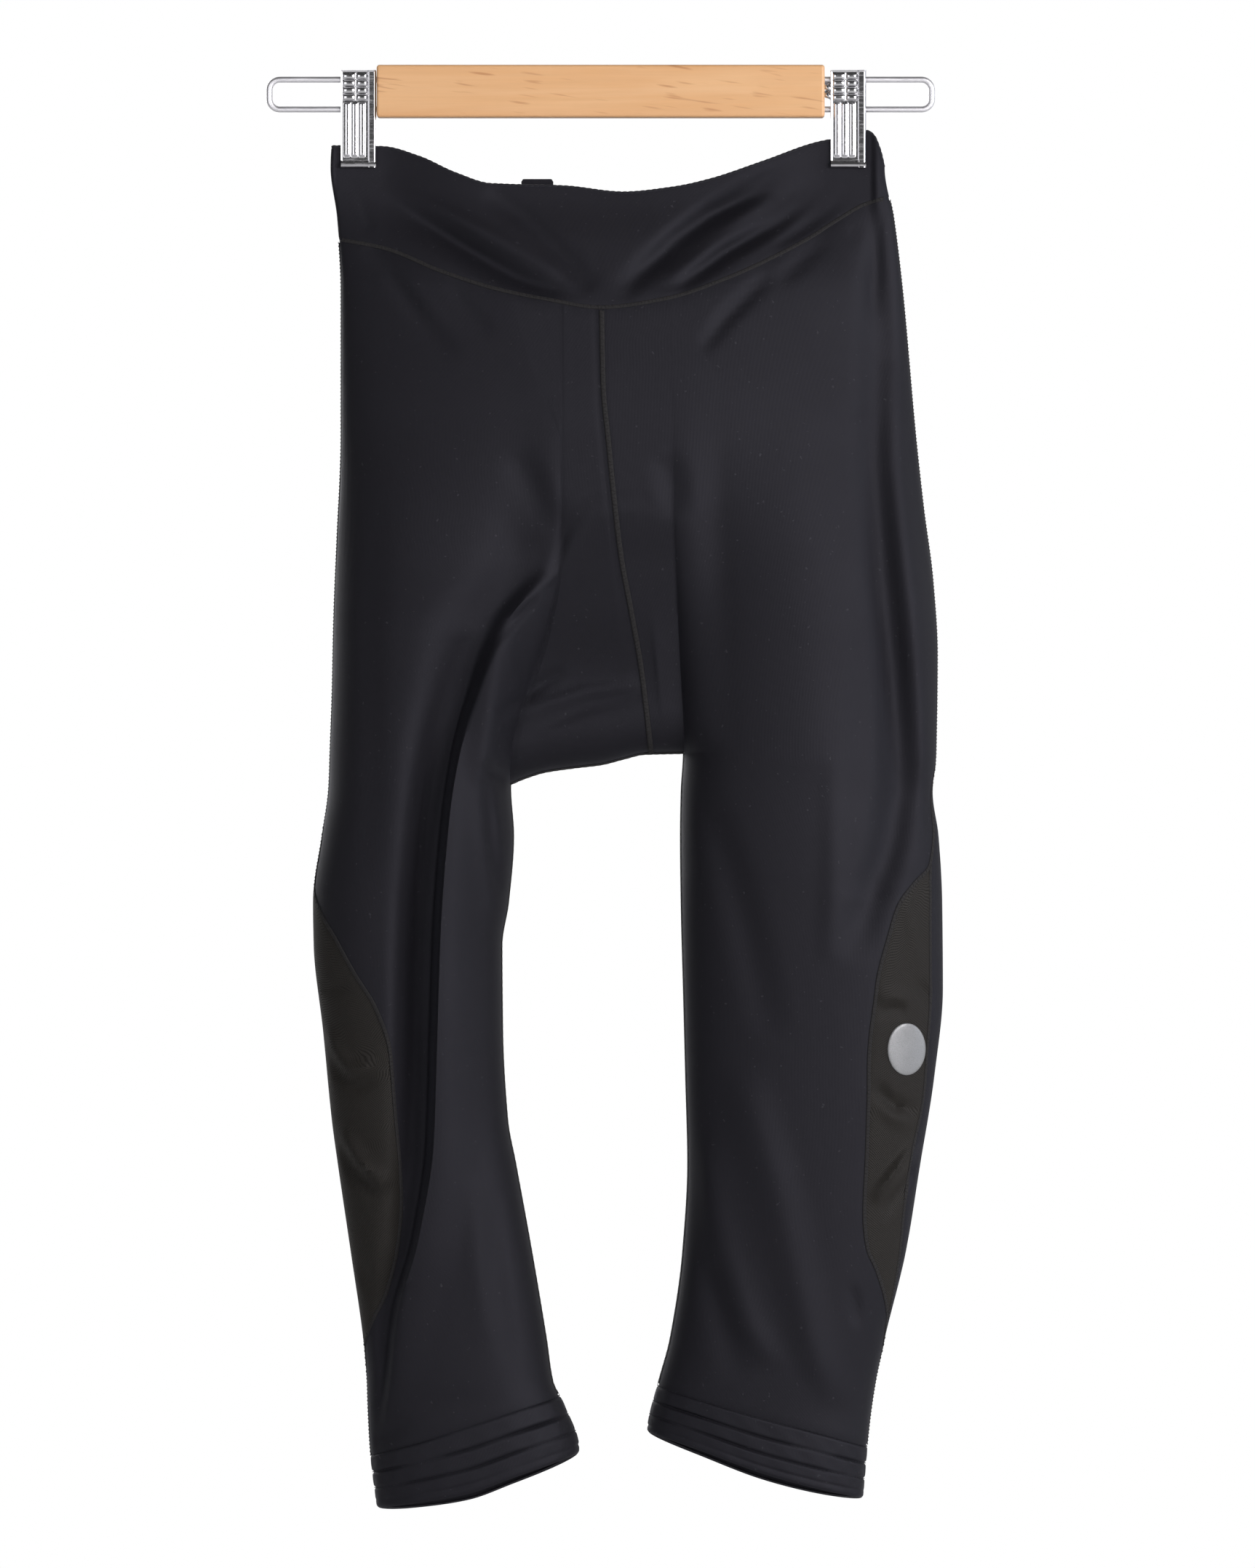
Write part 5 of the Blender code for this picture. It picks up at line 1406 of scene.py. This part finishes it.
class TIGHTS_OT_hanger(bpy.types.Operator):
    """Gives the wooden bar its grain and builds the wire loops that the clips slide on"""

    bl_idname = "tights.hanger"
    bl_label = "Bar and wire loops"

    def execute(self, context):
        for name, made_of in (("hanger_bar", "wood"), ("clip_spring_right", "chrome"), ("clip_spring_left", "chrome")):
            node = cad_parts[name]
            node.data.materials.clear()
            node.data.materials.append(MATERIALS[made_of])
        around = [(WIRE_RADIUS * math.cos(a), WIRE_RADIUS * math.sin(a))
                  for a in np.arange(WIRE_SIDES) / WIRE_SIDES * 2 * math.pi]
        for side, outward in OUTWARD.items():
            route = [(WIRE_START, WIRE_HEIGHTS[0]), (WIRE_START + 30, WIRE_HEIGHTS[0]), (WIRE_START + 60, WIRE_HEIGHTS[0])]
            for centre, first in ((WIRE_HEIGHTS[0] - WIRE_BEND, 90), (WIRE_HEIGHTS[1] + WIRE_BEND, 0)):
                for step in range(WIRE_BEND_STEPS + 1):
                    angle = math.radians(first - 90 * step / WIRE_BEND_STEPS)
                    route.append((WIRE_REACH - WIRE_BEND + WIRE_BEND * math.cos(angle),
                                  centre + WIRE_BEND * math.sin(angle)))
            route += [(x, WIRE_HEIGHTS[1]) for x in (WIRE_START + 60, WIRE_START + 30, WIRE_START)]
            centres = np.array([(outward * x, 0.0, z) for x, z in route])
            out = np.tile((0.0, -1.0, 0.0), (len(centres), 1))
            wire = mesh_piece(f"wire_loop_{side}_rod", *swept(centres, out, around))
            settled(wire, "wire", (f"wire_loop_{side}",))
        angle = np.linspace(0, 4 * math.pi, 49)
        coil = np.stack([131.2 + 2.2 * np.cos(angle), 2.2 * np.sin(angle), -9.6 - angle / (4 * math.pi) * 9.2], axis=-1)
        away = np.stack([np.cos(angle), np.sin(angle), 0 * angle], axis=-1)
        ring = [(1.5 * math.cos(a), 1.5 * math.sin(a)) for a in np.arange(12) * math.pi / 6]
        settled(mesh_piece("clip_left_coil", *swept(coil, away, ring)), "chrome")
        return {"FINISHED"}


def pressed_plate(u, w):
    """How far a jaw's pressed face stands out, across and down its plate."""
    rise = np.full(u.shape, CLIP_PLATE)
    for row in range(4):
        for left, right in ((1.0, 8.1), (9.0, 15.0)):
            a = (u - (left + right) / 2) / ((right - left) / 2)
            b = (w - (CLIP_TOP - 3.4 - 4.1 * row)) / 1.85
            inside = np.maximum(1 - np.abs(a) ** 3.2, 0) * np.maximum(1 - np.abs(b) ** 2.2, 0)
            rise = np.maximum(rise, CLIP_PLATE + 1.35 * np.sqrt(inside))
    for centre in (3.6, 7.9, 12.2):
        a = (u - centre) / 1.8
        ends = smooth((-21.4 - w) / 1.2) * smooth((w + 53.6) / 2.0)
        rise = np.maximum(rise, CLIP_PLATE + 0.95 * np.sqrt(np.maximum(1 - a**2, 0)) * ends)
    border = smooth((u - 15.4) / 0.7) * np.sqrt(np.clip(1 - (np.maximum(u - 19.0, 0) / 1.25) ** 2, 0, 1))
    rise = np.maximum(rise, CLIP_PLATE + 1.7 * border)
    edge = 0.35 * np.exp(-((u / 0.5) ** 2)) + 0.35 * np.exp(-(((CLIP_TOP - w) / 0.6) ** 2))
    lip = np.sqrt(np.clip(1 - ((w - CLIP_BOTTOM - 1.9) / 1.95) ** 2, 0, 1))
    return np.maximum(rise + edge, CLIP_PLATE + 1.9 * lip)


class TIGHTS_OT_clips(bpy.types.Operator):
    """Builds the clips' pressed jaws: rows of bumps, upright ribs, a raised border and a rolled lip"""

    bl_idname = "tights.clips"
    bl_label = "Clips"

    def execute(self, context):
        u = np.linspace(0, CLIP_WIDTH, 64)[None, :]
        w = np.linspace(CLIP_TOP, CLIP_BOTTOM, 170)[:, None]
        u, w = np.broadcast_arrays(u, w)
        rise = pressed_plate(u, w)
        for side in OUTWARD:
            for face, sign in FACE_SIGN.items():
                x = CLIP_X[side] - CLIP_WIDTH / 2 + u
                points = np.stack([x, -sign * (CLIP_SEAT + rise), w], axis=-1)
                out = np.broadcast_to((0.0, -1.0 * sign, 0.0), points.shape)
                plate = cloth_sheet(f"clip_{face}_{side}_plate", points, out, 0.5 * MM)
                settled(plate, "chrome", (f"clip_{face}_{side}",), 60)
        return {"FINISHED"}


def area_light(name, place, aim, size, power, colour=(1.0, 1.0, 1.0)):
    data = bpy.data.lights.new(name, "AREA")
    data.shape = "RECTANGLE"
    data.size, data.size_y = size
    data.energy = power
    data.color = colour
    light = bpy.data.objects.new(name, data)
    bpy.context.scene.collection.objects.link(light)
    light.location = place
    light.rotation_euler = (Vector(aim) - Vector(place)).to_track_quat("-Z", "Y").to_euler()


class TIGHTS_OT_stage(bpy.types.Operator):
    """Sets the pale floor, the soft lights, the bright surroundings and the camera"""

    bl_idname = "tights.stage"
    bl_label = "Stage"

    def execute(self, context):
        bpy.ops.object.select_all(action="DESELECT")
        bpy.ops.mesh.primitive_plane_add(size=60, location=(0, 0, FLOOR))
        floor = context.object
        floor.name = "floor"
        pale = bpy.data.materials.new("pale floor")
        pale.use_nodes = True
        tree = pale.node_tree
        tree.nodes.clear()
        seen = put(tree, "LightPath").outputs["Is Camera Ray"]
        matt = put(tree, "BsdfDiffuse", {"Color": (0.8, 0.8, 0.8, 1.0)})
        white = put(tree, "Emission", {"Color": (1.0, 1.0, 1.0, 1.0), "Strength": 1.0})
        both = put(tree, "MixShader", {0: seen, 1: matt.outputs[0], 2: white.outputs[0]})
        end = put(tree, "OutputMaterial")
        tree.links.new(both.outputs[0], end.inputs["Surface"])
        floor.data.materials.append(pale)

        world = bpy.data.worlds.new("studio")
        context.scene.world = world
        world.use_nodes = True
        tree = world.node_tree
        tree.nodes.clear()
        way = put(tree, "SeparateXYZ", {0: put(tree, "TexCoord").outputs["Generated"]}).outputs
        back = put(tree, "MapRange", {0: way[1], 1: -0.1, 2: 0.7, 3: ROOM_FRONT, 4: ROOM_BACK},
                   interpolation_type="SMOOTHSTEP").outputs[0]
        seen = put(tree, "LightPath").outputs["Is Camera Ray"]
        strength = figure(tree, "MAXIMUM", seen, back)
        sky = put(tree, "Background", {"Color": (1.0, 1.0, 1.0, 1.0), "Strength": strength})
        tree.links.new(sky.outputs[0], put(tree, "OutputWorld").inputs["Surface"])

        aim = (0.0, 0.0, -0.42)
        area_light("key", (2.2, -2.7, 0.5), aim, (2.2, 2.2), KEY_POWER, (1.0, 0.98, 1.0))
        area_light("fill", (-1.7, -2.9, 0.1), aim, (2.0, 2.4), FILL_POWER, (0.97, 0.97, 1.0))
        area_light("side", (2.6, -0.2, -0.1), aim, (1.0, 2.0), SIDE_POWER, (0.86, 0.90, 1.0))

        area_light("back", (-1.4, 3.0, 0.7), aim, (2.4, 2.4), BACK_POWER, (0.98, 0.98, 1.0))

        camera = bpy.data.cameras.new("camera")
        camera.sensor_width = 36.0
        camera.lens = 36.0 * CAMERA_DISTANCE / VIEW_HEIGHT
        camera.clip_start, camera.clip_end = 0.1, 100.0
        eye = bpy.data.objects.new("camera", camera)
        context.scene.collection.objects.link(eye)
        eye.location = (VIEW_CENTRE[0], -CAMERA_DISTANCE, VIEW_CENTRE[1])
        eye.rotation_euler = (math.pi / 2, 0, 0)
        context.scene.camera = eye
        context.scene.view_settings.view_transform = "Standard"
        context.scene.view_settings.look = "None"
        return {"FINISHED"}


def length(name, description, default, low=0.0, high=0.01):
    return bpy.props.FloatProperty(name=name, description=description, default=default, min=low, max=high,
                                   precision=5, subtype="DISTANCE", unit="LENGTH")


def colour(name, description, default):
    return bpy.props.FloatVectorProperty(name=name, description=description, default=default, min=0.0, max=1.0,
                                         size=3, subtype="COLOR")


class TightsSettings(bpy.types.PropertyGroup):
    """Sizes and colours of the tights"""

    cloth_thickness: length("Cloth thickness", "Thickness of the leg cloth", 0.0012)
    hem_proud: length("Hem step", "How far the doubled hem stands out from the leg cloth", 0.0004)
    stitch_pitch: length("Stitch pitch", "Spacing of the seam stitches", 0.0021, 0.001)
    crease_depth: bpy.props.FloatProperty(name="Crease depth", description="Scale of the fine creases' height",
                                          default=1.35, min=0.0, max=2.0, subtype="FACTOR")
    cloth_colour: colour("Cloth", "Colour of the stretch cloth", (0.0078, 0.0071, 0.0093))
    knee_colour: colour("Knee mesh", "Colour of the knee panels", (0.0150, 0.0130, 0.0110))
    pad_colour: colour("Pad lining", "Colour of the seat pad's lining", (0.030, 0.030, 0.036))
    thread_colour: colour("Dark thread", "Colour of the hem and edge thread", (0.010, 0.010, 0.014))
    seam_colour: colour("Seam thread", "Colour of the seams' covering thread", (0.0135, 0.0126, 0.0130))
    film_colour: colour("Film", "Colour of the reflective oval", (0.30, 0.305, 0.31))
    wood_colour: colour("Beech", "Colour of the hanger's bar", (0.72, 0.43, 0.215))
    metal_colour: colour("Plating", "Colour of the clips and wires", (0.64, 0.635, 0.65))


PIECES = (TIGHTS_OT_legs, TIGHTS_OT_waistband, TIGHTS_OT_knees, TIGHTS_OT_hems, TIGHTS_OT_seams, TIGHTS_OT_pad,
          TIGHTS_OT_tab, TIGHTS_OT_badge, TIGHTS_OT_hanger, TIGHTS_OT_clips, TIGHTS_OT_stage)


class TIGHTS_PT_build(bpy.types.Panel):
    """Lists the sizes, the colours and the steps of the build"""

    bl_label = "Hung tights"
    bl_idname = "TIGHTS_PT_build"
    bl_space_type = "VIEW_3D"
    bl_region_type = "UI"
    bl_category = "Tights"

    def draw(self, context):
        column = self.layout.column()
        for name in TightsSettings.__annotations__:
            column.prop(context.scene.tights, name)
        for piece in PIECES:
            column.operator(piece.bl_idname)


CLASSES = (TightsSettings, *PIECES, TIGHTS_PT_build)


def register():
    for each in CLASSES:
        bpy.utils.register_class(each)
    bpy.types.Scene.tights = bpy.props.PointerProperty(type=TightsSettings)


def unregister():
    del bpy.types.Scene.tights
    for each in reversed(CLASSES):
        bpy.utils.unregister_class(each)


def main():
    register()
    make_materials()
    for piece in PIECES:
        group, name = piece.bl_idname.split(".")
        getattr(getattr(bpy.ops, group), name)()


if __name__ == "__main__":
    main()
